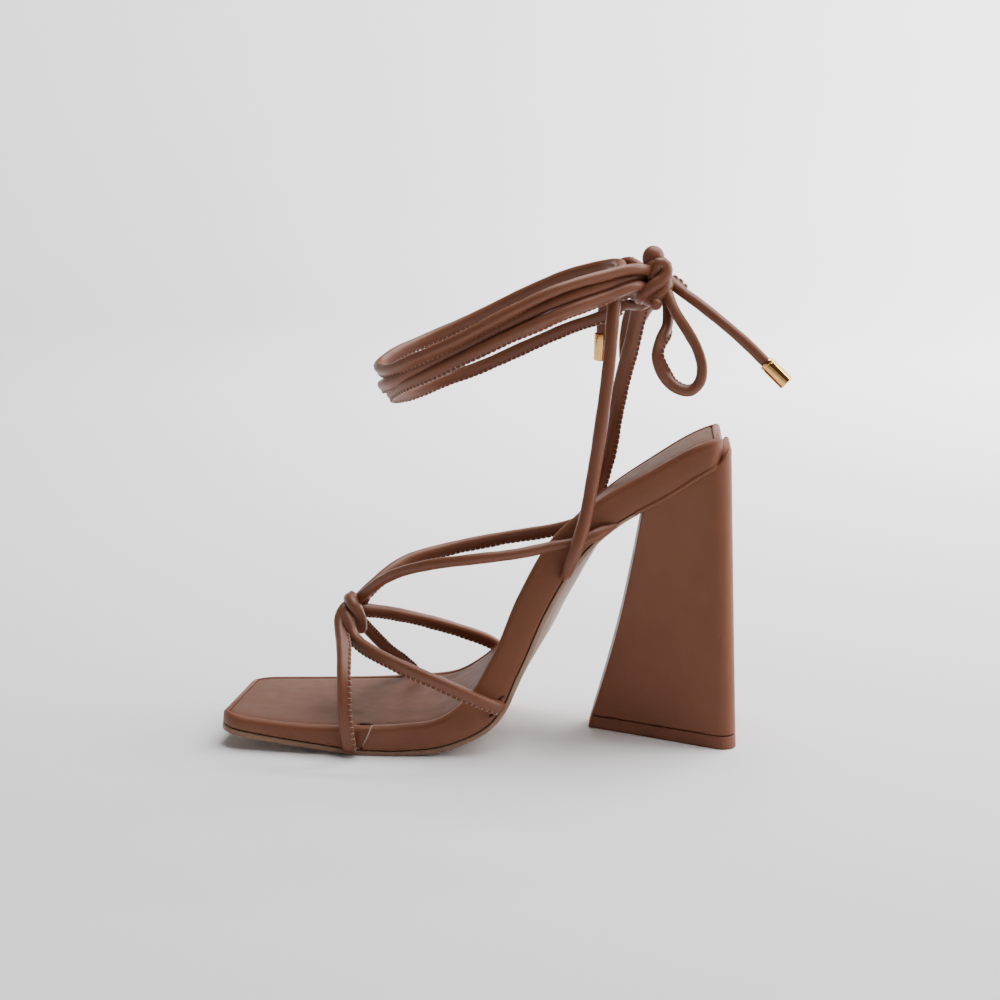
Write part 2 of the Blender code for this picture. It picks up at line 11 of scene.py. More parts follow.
import bmesh
import bpy
import numpy as np
from bpy.props import FloatProperty, FloatVectorProperty, IntProperty, PointerProperty
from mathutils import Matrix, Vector

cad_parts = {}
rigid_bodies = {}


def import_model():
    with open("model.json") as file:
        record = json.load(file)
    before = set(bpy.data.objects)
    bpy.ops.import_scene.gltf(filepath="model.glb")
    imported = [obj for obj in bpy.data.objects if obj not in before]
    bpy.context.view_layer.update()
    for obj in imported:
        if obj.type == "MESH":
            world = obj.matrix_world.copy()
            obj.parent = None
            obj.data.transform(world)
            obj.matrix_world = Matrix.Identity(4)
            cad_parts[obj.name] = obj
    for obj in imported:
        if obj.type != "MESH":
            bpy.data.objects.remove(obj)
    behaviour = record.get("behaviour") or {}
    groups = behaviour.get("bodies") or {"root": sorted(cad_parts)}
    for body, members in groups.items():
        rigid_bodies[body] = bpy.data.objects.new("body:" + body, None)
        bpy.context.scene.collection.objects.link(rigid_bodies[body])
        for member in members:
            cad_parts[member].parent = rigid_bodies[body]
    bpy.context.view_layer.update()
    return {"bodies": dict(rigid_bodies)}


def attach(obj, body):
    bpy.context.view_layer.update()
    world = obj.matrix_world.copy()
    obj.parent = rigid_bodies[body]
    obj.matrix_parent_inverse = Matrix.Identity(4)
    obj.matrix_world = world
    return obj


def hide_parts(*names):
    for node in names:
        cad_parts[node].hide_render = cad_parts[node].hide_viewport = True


bl_info = {
    "name": "Heeled sandal",
    "version": (1, 0, 0),
    "blender": (4, 5, 0),
    "location": "View3D > Sidebar > Sandal",
    "description": "Dresses the solids of a heeled lace-up sandal in leather, thread and metal",
    "category": "Object",
}

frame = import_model()

MM = 0.001
(BODY,) = frame["bodies"]
FRAME_SHIFT = Vector((1.2, 1.0, 0.0))

# The sole's sections: ridge position, total thickness, the two edges across the foot, and how far
# the lateral edge lies below the medial one
Section = namedtuple("Section", "x rise thick medial lateral drop")
SOLE_SECTIONS = (
    Section(-99.2, 13.7, 7.7, -33.5, 21.5, 0.0),
    Section(-84.0, 12.2, 8.1, -36.5, 28.0, 0.0),
    Section(-66.0, 11.1, 9.0, -38.8, 33.6, 0.0),
    Section(-44.0, 11.2, 11.4, -39.9, 36.6, 0.0),
    Section(-29.0, 12.0, 12.1, -39.7, 38.0, 0.0),
    Section(-14.2, 14.6, 12.8, -38.0, 37.0, 0.0),
    Section(-5.8, 20.6, 15.2, -35.0, 35.4, 0.8),
    Section(3.8, 35.4, 13.8, -29.5, 32.6, 4.6),
    Section(14.2, 60.2, 14.2, -24.0, 29.8, 6.6),
    Section(27.4, 82.4, 14.6, -19.5, 27.8, 5.8),
    Section(45.2, 96.6, 13.0, -16.0, 27.6, 3.2),
    Section(64.0, 107.1, 12.8, -14.8, 29.6, 1.0),
    Section(82.0, 117.2, 12.6, -14.6, 31.0, 0.4),
    Section(91.8, 120.8, 11.6, -14.6, 31.0, 0.0),
)
CLEARANCE = 0.3
TOE_CORNER_RADIUS = 9.5
HEEL_END_RADIUS = 7.5
HEEL_END_UPRIGHT = 36.0
END_CAP = 0.4
TOE_SLANT = 0.06
TOE_SLANT_LENGTH = 45.0
LEAN_STEP = 0.5
OUTSOLE_FOREFOOT = 2.4
OUTSOLE_BREAST = 1.2
OUTSOLE_END_X = 54.0
OUTSOLE_TOP_BEVEL = 0.2
OUTSOLE_BEVEL_DEPTH = 0.25
BOTTOM_EDGE_BEVEL = 0.8
BEVEL_MIDDLE = 0.3
TOE_BORDER = 2.9
TOE_BORDER_SPAN = (28.0, 66.0)
BORDER_ROLL = ((0.35, 0.06), (0.1, 0.2))
INSOLE_RECESS = 1.6
END_RECESS = 0.1
INSOLE_BELOW_BORDER = 0.35
INSOLE_CROWN = 0.25
SOCK_GAP = 0.15
SOCK_EDGE_ROUND = 0.5
SOCK_EDGE_MIDDLE = 0.15
SOCK_END_SPAN = 6.0
SOCK_CROWN_ROWS = ((5.0, 0.6), (14.0, 1.0))
STATION_SPACING = 2.0
END_STATIONS = (0.06, 0.2, 0.45, 0.8, 1.3, 2.0, 5.4)
END_SPAN = 7.0
BORDER_STATION = 0.15
ARC_STEPS = 6
SEAT_EDGE_RADIUS = 0.85
SEAT_EDGE_INSET = 0.45
SEAT_EDGE_LEAD = 1.0
CUTTER_LEAD = 10.0
CUTTER_RISE = 2.0

# The heel's plan at three levels, from the floor to the seat
HeelPlan = namedtuple(
    "HeelPlan", "level front back front_half back_half front_round back_round centre")
HEEL_PLANS = (
    HeelPlan(0.0, 40.6, 98.6, 5.2, 34.6, 0.7, 5.0, 9.6),
    HeelPlan(0.5, 52.8, 96.8, 13.0, 27.4, 0.7, 6.0, 8.9),
    HeelPlan(1.0, 62.4, 95.0, 20.8, 21.6, 0.7, 7.0, 7.6),
)

# The height of the heel's upper edge along X, under the platform and up round its back
HEEL_TOP = ((40.0, 85.2), (66.0, 99.8), (76.0, 102.6), (83.4, 106.6), (88.5, 109.2), (91.2, 111.2),
            (92.6, 114.0), (93.4, 115.2), (95.2, 115.5))
HEEL_LIP_ROUND = 1.0
HEEL_LEVELS = 28
HEEL_SEAT_Z = 97.0
CORNER_STEPS = 8
EDGE_SOFTENING = 0.45
TOP_LIFT_HEIGHT = 5.0
LIFT_BEVEL_INSET = 0.35
LIFT_BEVEL_HEIGHT = 0.4

# The six straps, from the knot over the toes to the edge of the sole, each with the side its seam is
# on, its girth and the girths of its last points. A strand with no seam side has its seam hidden
Strap = namedtuple("Strap", "name seam points girth foot", defaults=(1.0, ()))
STRAPS = (
    Strap("strap_medial_front", (1.0, -0.6, 0.1), (
        (-53.6, -5, 51), (-55.2, -8.8, 49.6), (-56.4, -10.8, 46.7), (-56.2, -13.2, 44.4),
        (-55, -18, 41.2), (-53.4, -25.4, 37.6), (-51.8, -36, 29), (-50.6, -41.6, 17), (-49.6, -42.2, 8),
        (-49.2, -41, 4), (-49, -38, 2.8)), 1.12),
    Strap("strap_medial_back", (-0.3, -0.5, -1.0), (
        (-54.4, -8, 48.8), (-53.2, -12.8, 48), (-51.9, -15.4, 45.2), (-50.2, -17.8, 42),
        (-47.2, -21.4, 40), (-42, -26.4, 38.2), (-30, -34.5, 34.8), (-14.2, -39.2, 29.6),
        (-3, -38.6, 24.4), (4.4, -36, 20.6), (8, -32.6, 18.6), (9, -28.8, 18))),
    Strap("strap_medial_instep", (0.0, 1.0, -0.4), (
        (-52, -3, 51), (-47, -7, 56), (-38, -13, 63.4), (-19, -24, 71.6), (-3.6, -28.5, 74.8),
        (15.4, -27.6, 77.4), (27, -24.2, 79.4), (38.6, -22.2, 81.4), (43.9, -20, 83.3),
        (46.5, -18.6, 84.7), (49.1, -17.2, 85.8), (51.8, -15.4, 86.9)), 1.0, (1.15, 1.0, 0.62, 0.25)),
    Strap("strap_lateral_instep", (0.1, -0.35, -1.0), (
        (-52, -2, 51), (-45, 7, 57.2), (-39.6, 13, 61.2), (-34, 19, 64), (-21, 27, 66.8),
        (3, 32.6, 71.2), (27, 31.6, 75.8), (41, 30.6, 80))),
    Strap("strap_lateral_back", (-0.3, -0.5, -1.0), (
        (-52, -2, 49), (-40, 12, 44.2), (-29, 24, 38.8), (-13.5, 34, 31.8), (0, 37.2, 25.8),
        (9.5, 36.4, 19))),
    Strap("strap_lateral_front", (0.8, -0.4, 0.5), (
        (-53, -2, 46), (-48.8, 8, 37.8), (-43.4, 20, 27.4), (-37.6, 32, 18.4), (-33.8, 39.2, 11.4),
        (-32.4, 40, 5), (-32.2, 37, 3))),
)
VAMP_KNOT_WRAPS = (
    Strap("over", None, (
        (-49.4, -3.6, 41.6), (-48.6, -8.6, 42.6), (-48.4, -11, 46), (-49.2, -12.2, 49.6),
        (-50.9, -11.6, 52), (-52.6, -8.6, 53.4), (-53.6, -4.4, 53), (-53.8, -0.6, 50)), 1.14),
    Strap("under", None, (
        (-47.4, -1.6, 53), (-49, 2.2, 51), (-50.4, 3.4, 46.6), (-52, 1, 42.8), (-53.4, -4, 41.8),
        (-53, -9, 43))),
)

Ball = namedtuple("Ball", "centre radii")
VAMP_KNOT_BALLS = (Ball((-52.0, -4.0, 48.0), (3.6, 5.0, 4.6)),)

# The turns round the ankle: which side, how far in, and the height from front to back
Turn = namedtuple("Turn", "side inset front_x front third two_thirds back")
ANKLE_BACK_X = 60.0
ANKLE_HALF_WIDTH = 31.0
ANKLE_CENTRE_Y = 4.0
ANKLE_FULLNESS = 2.3
ANKLE_END_ROUND = 0.62
ANKLE_TAPER = (1.08, 0.24)
ANKLE_FRONT_LEAD = 0.6
ANKLE_HEIGHT_KEYS = (0.0, 0.33, 0.67, 1.0)
ANKLE_STEPS = (0.04, 0.16, 0.33, 0.52, 0.7, 0.86)
BACK_STEP = 4
TURN_A_OUT = Turn(1, 0.0, -41.5, 146.6, 160.6, 177.2, 186.6)
TURN_A_HOME = Turn(-1, 0.0, -41.5, 142.6, 158.2, 175.8, 184.6)
TURN_B_FIRST = Turn(-1, 2.2, -40.0, 137.8, 154.5, 171.3, 181.1)
TURN_B_FAR = Turn(1, 0.0, -40.0, 136.4, 150.2, 166.4, 173.6)
TURN_B_NEAR = Turn(-1, 0.0, -36.5, 135.8, 152.2, 167.2, 177.8)
TURN_B_LAST = Turn(1, 0.0, -36.5, 131.2, 141.6, 156.6, 169.2)

# Routes of the two laces between the sole, the turns and the bow's knot
MEDIAL_RISER = (
    (32, -20, 66.6), (33, -24.6, 69.2), (36.4, -27.9, 79), (39.2, -26, 88), (41.8, -23, 101.4),
    (44.2, -21, 117), (46.2, -19, 132.2), (48.2, -15.8, 150), (49, -11.4, 162), (49.6, -7.6, 171),
    (50.4, -3.6, 177), (51.6, 3.6, 181.2), (51.4, 11.6, 183.4),
)
MEDIAL_TO_KNOT = ((57.4, -7.6, 183.4), (62.4, -2.4, 182.4), (65.8, 1.4, 180.4))
LATERAL_RISER = (
    (34.2, 27.6, 70), (35.6, 31.6, 72), (38, 35.8, 79), (40.4, 35.6, 87), (43.4, 33, 96),
    (47, 31, 111.6), (49.2, 28.4, 126), (52.4, 26.4, 140.2), (55.4, 24, 152.4), (58.2, 21.6, 166),
    (60.4, 12, 175.6), (60.8, 2.4, 179.6),
)
BACK_CROSSING = ((55.2, 14, 173.4), (61.2, 4, 174.6), (58.6, -6.4, 177))
LATERAL_TO_KNOT = ((53.4, 20.6, 167.4), (58.8, 12, 168), (62.2, 8, 170), (64.6, 5.4, 173.8))
RISER_GIRTHS = (1.2, 1.22)
FIRST_TURN_GIRTH = 1.1
RISER_FOOT = 2
RISER_FOOT_GIRTH = 1.0
SEAM_DOWN = (0.0, -0.45, -1.0)
SEAM_UNDER = (0.0, 0.25, -1.0)
SEAM_AWAY = (0.2, 1.0, -0.3)
SEAM_BACK = (1.0, -0.25, -0.2)
SEAM_TUCKED = (0.0, 1.0, -0.5)
SEAM_UP = (0.5, 0.1, 1.0)
HIDDEN_SEAM = (0.0, 1.0, 0.2)

# Routes of the bow's cords, each from inside the knot outward
BOW_LOOP_NEAR = (
    (69.2, -3.4, 174.6), (72.6, -7.8, 167.4), (77.4, -10.4, 160.2), (81.4, -12, 153),
    (83, -13, 146.6), (82.2, -13, 141.4), (79, -13, 138.1), (73.6, -13, 138.9), (68.2, -13, 144.2),
    (66, -12.4, 150.8), (67.2, -9, 156.8), (69.8, -4.4, 162.4), (69.9, -1.2, 167), (69.2, 1.6, 171.2),
)
LOOP_NEAR_ENDS = ((67.2, -0.6, 178), (67.2, 2.6, 174.4))
LOOP_NEAR_SEAM = {6: 24.0, 7: 9.0, 8: -3.0, 9: -10.0, 10: -3.0, 11: 9.0}
BOW_LOOP_FAR = (
    (65.8, 4.4, 186), (65.8, 9.4, 184.6), (64.6, 15.8, 179.6), (62, 23.4, 174.4), (58, 32, 170),
    (54.4, 38.8, 162), (52.8, 41.6, 152.6), (52.8, 40.2, 145.6), (53.4, 36, 142.4),
    (54.2, 31.6, 146), (55.6, 30, 153.4), (60, 27.6, 162), (63.6, 20.6, 168), (66.8, 12.8, 172.6),
    (69.4, 7.4, 175.6),
)
LOOP_FAR_ENDS = ((65.6, 1.6, 184.6), (67.4, 4, 177))
LACE_END_NEAR = (
    (71.6, 1.2, 177), (76.2, -2.8, 173.8), (80.6, -6.4, 171), (86.4, -10, 166.8),
    (93, -13.2, 161.7), (100.4, -15.4, 155.4), (106.4, -16.6, 149.6),
)
LACE_END_FAR = (
    (63.4, 6.4, 180), (58.6, 12, 183), (54.4, 17.4, 184.4), (51, 23.4, 182.6),
    (48, 29.8, 177.4), (45.2, 36, 168.6), (43.6, 39, 160.2), (43.6, 39.4, 154.6),
)
LACE_END_STARTS = {"near": (67.8, 3.6, 178.8), "far": (66.4, 3, 178.4)}
BOW_KNOT_BALLS = (
    Ball((66.0, 1.6, 178.0), (3.8, 4.4, 6.2)),
    Ball((64.1, 2.0, 187.0), (4.3, 4.2, 4.7)),
    Ball((65.2, -6.2, 170.2), (2.5, 2.6, 2.5)),
)
BOW_KNOT_WRAPS = (
    Strap("crown", None, (
        (65.6, 7.4, 180.6), (64.8, 6, 184.4), (64.2, 3, 186), (64, -0.4, 184.4), (64.2, -2, 181),
        (64.6, -1.2, 177.6)), 1.3),
    Strap("hump", None, (
        (64.4, 0.4, 179), (65.2, -2.4, 183), (66.6, -3, 185.2), (68.3, -2.9, 184.8), (69.1, -3.3, 182.4),
        (67.9, -4.5, 179.6), (65, -5.3, 177.4), (61.9, -4.8, 174.8), (59.6, -2, 172.4),
        (58.8, 2.4, 171.2)), 1.22),
    Strap("sash", None, (
        (70, 1, 178.6), (69, -3.2, 176), (66.4, -5, 173.6), (63.4, -4.2, 171.8),
        (61.2, -0.6, 171)), 1.12),
    Strap("tuck", None, (
        (65.4, 2, 174.6), (65.2, -1.6, 172), (65.2, -5.8, 170.4)), 1.14),
)

BALL_SIDES = 32
BALL_LEVELS = 20
BALL_POLE = 0.02

# Lines let into the wrapped edge: the sewn notch beside the front strap's foot and two small slits
# beside the next strap's foot
EdgeLine = namedtuple("EdgeLine", "name radius material points")
# The dark lines are painted shade, standing for the shadow inside the slits
EDGE_LINES = (
    EdgeLine("notch_edge", 0.28, "cream_thread", (
        (-39.8, -35.8, 11.3), (-40.3, -37.6, 11.3), (-40.9, -39.2, 10.5), (-41.6, -40, 8.6),
        (-42.9, -40.05, 5.8), (-44.2, -40, 3.2))),
    EdgeLine("notch_slit", 0.4, "painted_gap_shade", (
        (-46.6, -35.7, 11.2), (-43.2, -35.6, 11.3), (-39.6, -35.7, 11.2))),
    EdgeLine("notch_foot", 0.4, "painted_gap_shade", ((-45, -40, 3.1), (-44.4, -40, 2.9), (-43.7, -40, 3.1))),
    EdgeLine("strap_slit_upper", 0.4, "painted_gap_shade", (
        (7.4, -32.5, 21), (8.6, -32.3, 21.9), (9.9, -31.9, 22.7))),
    EdgeLine("strap_slit_lower", 0.4, "painted_gap_shade", (
        (4, -34.5, 14.8), (5.2, -34.2, 15.5), (6.4, -33.8, 16.2))),
)
EDGE_LINE_STEP = 0.5
EDGE_LINE_TAPER = 4.0
EDGE_LINE_END = 0.25
TUBE_SIDES = 10
TUBE_REFERENCE = (0.3, 0.4, 0.87)

# How a strand follows its route. The girth's waves are rows of size, rate and shift
ROUTE_FINENESS = 12
END_STEPS = (0.12, 0.45, 0.95)
END_GIRTH = 0.15
GIRTH_WAVES = ((0.021, 0.31, 0.4), (0.016, 0.117, 1.3), (0.012, 0.73, 2.2))
STRAND_VALUES = (
    ("seam_side", "FLOAT_VECTOR", "vector"), ("sewn", "FLOAT", "value"), ("girth", "FLOAT", "value"))

# The sewn seam, in shares of the strap's radius, the seam's width and the stitches' pitch
SEAM_FROM = 0.78
SEAM_REACH = 0.55
SEAM_PINCH = -0.3
SEWN_ABOVE = 0.5
SCALLOP_LENGTH = 0.56
SCALLOP_HEIGHT = 0.5
SCALLOP_MESH = (8, 5)
STITCH_PLACE = 0.5
STITCH_HEIGHT = 0.48
STITCH_LIFT = 0.42
STITCH_MESH = (6, 5)

# A lace tip's profile: the distance from its mouth or from its end, and the share of its radius
AGLET_MOUTH = ((0.7, 0.78), (0.0, 0.8), (-0.15, 0.86), (-0.1, 0.95), (0.15, 1.0), (1.2, 1.0),
               (1.35, 0.955), (1.6, 0.955), (1.75, 1.0))
AGLET_END = ((-0.5, 1.0), (-0.15, 0.97), (0.0, 0.9), (0.0, 0.82), (-0.25, 0.76), (-0.3, 0.3))
AGLET_RADIUS = 2.9
AGLET_LENGTH = 11.0
AGLET_SIDES = 32
TIP_SPACING = 8.5
TIP_OVERLAP = 1.6

# Edges sharper than these angles, in degrees, stay sharp
PLATFORM_SHARP = 42
SOLE_SHARP = 40
HEEL_SHARP = 32
TIP_SHARP = 30
ROUND_SHARP = 60

# Studio lights: place, size, power and the point each is turned to, in metres and watts
SHOE_MIDDLE = (0.0, 0.0, 0.08)
STUDIO_LIGHTS = (
    ("top_box", (0.2, 0.2, 1.15), (1.1, 0.8), 22.0, SHOE_MIDDLE),
    ("right_box", (1.5, 0.3, 0.9), (1.1, 1.1), 30.0, SHOE_MIDDLE),
    ("backdrop_left", (-0.9, 1.1, 1.3), (0.8, 0.8), 10.0, (-0.6, 2.4, 0.3)),
    ("backdrop_right", (0.9, 1.1, 1.3), (0.8, 0.8), 110.0, (0.9, 2.1, 0.1)),
)
SKY_COLOUR = (0.93, 0.94, 0.97, 1.0)
SENSOR_WIDTH = 36.0
CLIP_START = 0.01

# The ground: its flat rings, the radius of its rising rim and that rim's angles, in metres and radians
GROUND_RINGS = (0.25, 0.8, 1.7)
GROUND_RIM = 0.8
GROUND_RIM_ANGLES = np.linspace(0.2, 1.5, 8)
GROUND_SIDES = 96


def length_setting(name, description, default):
    return FloatProperty(name=name, description=description, default=default, unit="LENGTH")


def angle_setting(name, description, degrees):
    return FloatProperty(
        name=name, description=description, default=math.radians(degrees), subtype="ANGLE")


def colour_setting(name, description, default):
    return FloatVectorProperty(
        name=name, description=description, default=default, subtype="COLOR", min=0.0, max=1.0)


class SandalSizes(bpy.types.PropertyGroup):
    """Sizes of the leatherwork."""

    strap_radius: length_setting("Strap radius", "Half the thickness of a rolled strap", 0.0021)
    seam_width: length_setting("Seam width", "How far the stitched seam stands out of a strap", 0.0015)
    seam_thickness: length_setting("Seam thickness", "Thickness of the two edges sewn together", 0.0011)
    stitch_pitch: length_setting(
        "Stitch pitch", "Distance from one stitch of a strap's seam to the next", 0.0021)
    thread_radius: length_setting("Thread radius", "Half the thickness of the sewing thread", 0.0002)
    strap_sides: IntProperty(
        name="Strap sides", description="Points around a rolled strap", default=24, min=12)
    strap_step: length_setting("Strap step", "Distance between the rings of a rolled strap", 0.0015)
    border_width: length_setting("Border width", "Width of the wrapped edge round the sock", 0.0042)
    edge_radius: length_setting("Edge radius", "Rounding of the sole's wrapped upper edge", 0.0024)


class SandalColours(bpy.types.PropertyGroup):
    """Colours of the materials."""

    tan_leather: colour_setting(
        "Wrap leather", "Leather of the sole's wrap and the heel's cover", (0.185, 0.068, 0.034))
    strap_leather: colour_setting(
        "Strap leather", "Leather of the straps and laces", (0.175, 0.064, 0.034))
    sock_leather: colour_setting("Sock leather", "Lining that the foot stands on", (0.145, 0.072, 0.05))
    # Painted shade: the sole edge's colour low round the forefoot is darker than the outsole's own colour,
    # which is the arch edge's colour higher up
    sole_edge_with_painted_shade: colour_setting(
        "Sole edge", "Painted edge of the outsole round the forefoot", (0.24, 0.135, 0.085))
    arch_edge: colour_setting("Arch edge", "Bare edge of the outsole under the arch", (0.31, 0.21, 0.15))
    sole_bottom: colour_setting("Sole bottom", "Underside of the outsole", (0.42, 0.31, 0.235))
    lift_rubber: colour_setting("Top lift", "Wear piece under the heel", (0.19, 0.072, 0.042))
    gold_metal: colour_setting("Lace tips", "Metal of the lace tips", (0.82, 0.46, 0.16))
    thread: colour_setting("Thread", "Sewing thread of the seams", (0.4, 0.3, 0.24))
    ground: colour_setting("Ground", "Floor and backdrop", (0.8, 0.785, 0.79))


class SandalStage(bpy.types.PropertyGroup):
    """Camera and light."""

    azimuth: angle_setting("Azimuth", "Camera's turn round the shoe", 4.5)
    elevation: angle_setting("Elevation", "Camera's height above the horizon", 10.5)
    distance: length_setting("Distance", "From the camera to its target", 0.78)
    target: FloatVectorProperty(
        name="Target", description="Point at the middle of the picture",
        subtype="XYZ", default=(0.00695, -0.00085, 0.093))
    lens: FloatProperty(name="Lens", description="Focal length in millimetres", default=72.0)
    sky: FloatProperty(name="Sky", description="Strength of the light from all round", default=0.08)


def placed(point):
    """A point of the tables, moved to the frame's origin, in metres."""
    return (Vector(point) + FRAME_SHIFT) * MM


class Wiring:
    """Adds nodes to a tree, with their inputs linked or set."""

    def __init__(self, tree):
        self.tree = tree

    def fill(self, node, inputs):
        for key, value in inputs.items():
            if isinstance(value, bpy.types.NodeSocket):
                self.tree.links.new(value, node.inputs[key])
            else:
                node.inputs[key].default_value = value

    def add(self, kind, inputs=None, **settings):
        made = self.tree.nodes.new(kind)
        for key, value in settings.items():
            setattr(made, key, value)
        self.fill(made, inputs or {})
        return made

    def first(self, kind, inputs=None, **settings):
        """The first output of a new node."""
        return self.add(kind, inputs, **settings).outputs[0]

    def calc(self, operation, left, right):
        return self.first("ShaderNodeMath", {0: left, 1: right}, operation=operation)

    def times(self, left, right):
        return self.calc("MULTIPLY", left, right)

    def plus(self, left, right):
        return self.calc("ADD", left, right)

    def vector(self, parts):
        return self.first("ShaderNodeCombineXYZ", parts)

    def attribute(self, name, kind="FLOAT"):
        return self.first("GeometryNodeInputNamedAttribute", {"Name": name}, data_type=kind)


def linked(name, data):
    """A new object of the scene."""
    made = bpy.data.objects.new(name, data)
    bpy.context.scene.collection.objects.link(made)
    return made


def plain_mesh(item):
    """What an object's modifiers make of it, as a mesh. The object is removed."""
    graph = bpy.context.evaluated_depsgraph_get()
    mesh = bpy.data.meshes.new_from_object(item.evaluated_get(graph))
    bpy.data.objects.remove(item, do_unlink=True)
    return mesh


def finish_piece(mesh, name, slot, *nodes):
    """Puts a mesh into the scene as a piece that rides on the shoe and stands for its solids."""
    mesh.name = name
    piece = linked(name, mesh)
    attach(piece, BODY)
    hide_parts(*nodes)
    return piece


def hermite(keys, values, at):
    """Smooth curve through values at rising keys, carried on straight past both ends."""
    keys = np.asarray(keys, float)
    values = np.asarray(values, float)
    slopes = np.gradient(values, keys, axis=0)
    at = float(at)
    if at <= keys[0]:
        return values[0] + slopes[0] * (at - keys[0])
    if at >= keys[-1]:
        return values[-1] + slopes[-1] * (at - keys[-1])
    i = int(np.searchsorted(keys, at)) - 1
    span = keys[i + 1] - keys[i]
    u = (at - keys[i]) / span
    blend_start = 2 * u**3 - 3 * u**2 + 1
    lead_start = (u**3 - 2 * u**2 + u) * span
    lead_end = (u**3 - u**2) * span
    return (blend_start * values[i] + (1 - blend_start) * values[i + 1]
            + lead_start * slopes[i] + lead_end * slopes[i + 1])


def chord_keys(points):
    steps = np.linalg.norm(np.diff(np.asarray(points, float), axis=0), axis=1)
    return np.concatenate(([0.0], np.cumsum(steps)))


def smooth_route(points, spacing, ends=()):
    """Points of a smooth curve through a route, closer at its ends, and each one's chord key."""
    keys = chord_keys(points)
    marks = np.linspace(0, keys[-1], ROUTE_FINENESS * len(points))
    fine = np.array([hermite(keys, points, mark) for mark in marks])
    lengths = chord_keys(fine)
    total = lengths[-1]
    wanted = np.linspace(0, total, max(3, int(round(total / spacing)) + 1))
    wanted = np.unique(np.concatenate((wanted, ends, total - np.array(ends))))
    path = np.column_stack([np.interp(wanted, lengths, fine[:, axis]) for axis in range(3)])
    return path, np.interp(wanted, lengths, marks)


def tangents_of(path):
    tangents = np.gradient(path, axis=0)
    return tangents / np.linalg.norm(tangents, axis=1)[:, None]


def round_ring(centre, radius, across, over, sides):
    """Points of a circle in the plane of two directions."""
    angles = [2 * math.pi * k / sides for k in range(sides)]
    return [centre + radius * (math.cos(a) * across + math.sin(a) * over) for a in angles]


def tube_rings(path, radii):
    """Round rings along a path, carried on without twist."""
    tangents = tangents_of(np.asarray(path, float))
    across = np.cross(tangents[0], TUBE_REFERENCE)
    rings = []
    for point, tangent, radius in zip(path, tangents, radii):
        across = across - tangent * np.dot(across, tangent)
        across /= np.linalg.norm(across)
        rings.append(round_ring(point, radius, across, np.cross(tangent, across), TUBE_SIDES))
    return rings


def loft(rings):
    """Closed mesh through rings of equal point counts, each listed the same way round."""
    shape = bmesh.new()
    rows = [[shape.verts.new(placed(point)) for point in ring] for ring in rings]
    count = len(rows[0])
    for lower, upper in zip(rows, rows[1:]):
        for i in range(count):
            j = (i + 1) % count
            shape.faces.new((lower[i], lower[j], upper[j], upper[i]))
    shape.faces.new(list(reversed(rows[0])))
    shape.faces.new(rows[-1])
    bmesh.ops.triangulate(shape, faces=[f for f in shape.faces if len(f.verts) > 4])
    bmesh.ops.recalc_face_normals(shape, faces=shape.faces)
    mesh = bpy.data.meshes.new("loft")
    shape.to_mesh(mesh)
    shape.free()
    return mesh


def shade(mesh, angle, *materials):
    """Smooth shading with edges sharper than the angle kept, and the mesh's materials."""
    mesh.shade_smooth()
    mesh.set_sharp_from_angle(angle=math.radians(angle))
    mesh.materials.clear()
    for material in materials:
        mesh.materials.append(material)
    return mesh


# Materials, with the sizes of their patterns in millimetres

FINISH_MARK = "_finish"
# Heights over which the sole edge's painted shade low down gives way to the outsole's own colour higher up
EDGE_FADE = (10.0, 34.0)
NOISE_MIDDLE = (0.3, 0.7)
MOTTLE_PATCH = 14.0
MOTTLE_SPECK = 1.1
PATCH_SHARE = 0.65
GLOSS_PATCH = 5.0
CREASE_SPREAD = 7
CELL_RELIEF = 0.6
GRAIN_STRENGTH = 0.55
# How dark the painted shade inside the slits is, as a share of the wrap leather's colour
GAP_SHADE = 0.16


def surface(name, roughness, metallic=0.0):
    """A new material with its principled shader and its wiring."""
    made = bpy.data.materials.new(name + FINISH_MARK)
    made.use_nodes = True
    wires = Wiring(made.node_tree)
    shader = made.node_tree.nodes["Principled BSDF"]
    wires.fill(shader, {"Roughness": roughness, "Metallic": metallic})
    return made, wires, shader


def object_coords(wires):
    return wires.add("ShaderNodeTexCoord").outputs["Object"]


def noise(wires, coords, size, detail=3.0):
    """Noise whose features are about a size across."""
    return wires.first("ShaderNodeTexNoise", {
        "Vector": coords, "Scale": 1.0 / (size * MM), "Detail": detail})


def ranged(wires, value, low=0.0, high=1.0, stretch=NOISE_MIDDLE):
    """Spreads a stretch of a value, by default the middle of a noise, from low to high."""
    return wires.first("ShaderNodeMapRange", {
        "Value": value, "From Min": stretch[0], "From Max": stretch[1], "To Min": low, "To Max": high})


def blended(wires, share, first, second):
    mix = wires.add("ShaderNodeMix", {"Factor": share, "A": first, "B": second}, data_type="RGBA")
    return mix.outputs["Result"]


def tinted(wires, share, colour, dark, light):
    """A colour between a darker and a lighter tone of itself."""
    tones = [(*(min(c * tone, 1.0) for c in colour), 1.0) for tone in (dark, light)]
    return blended(wires, share, *tones)


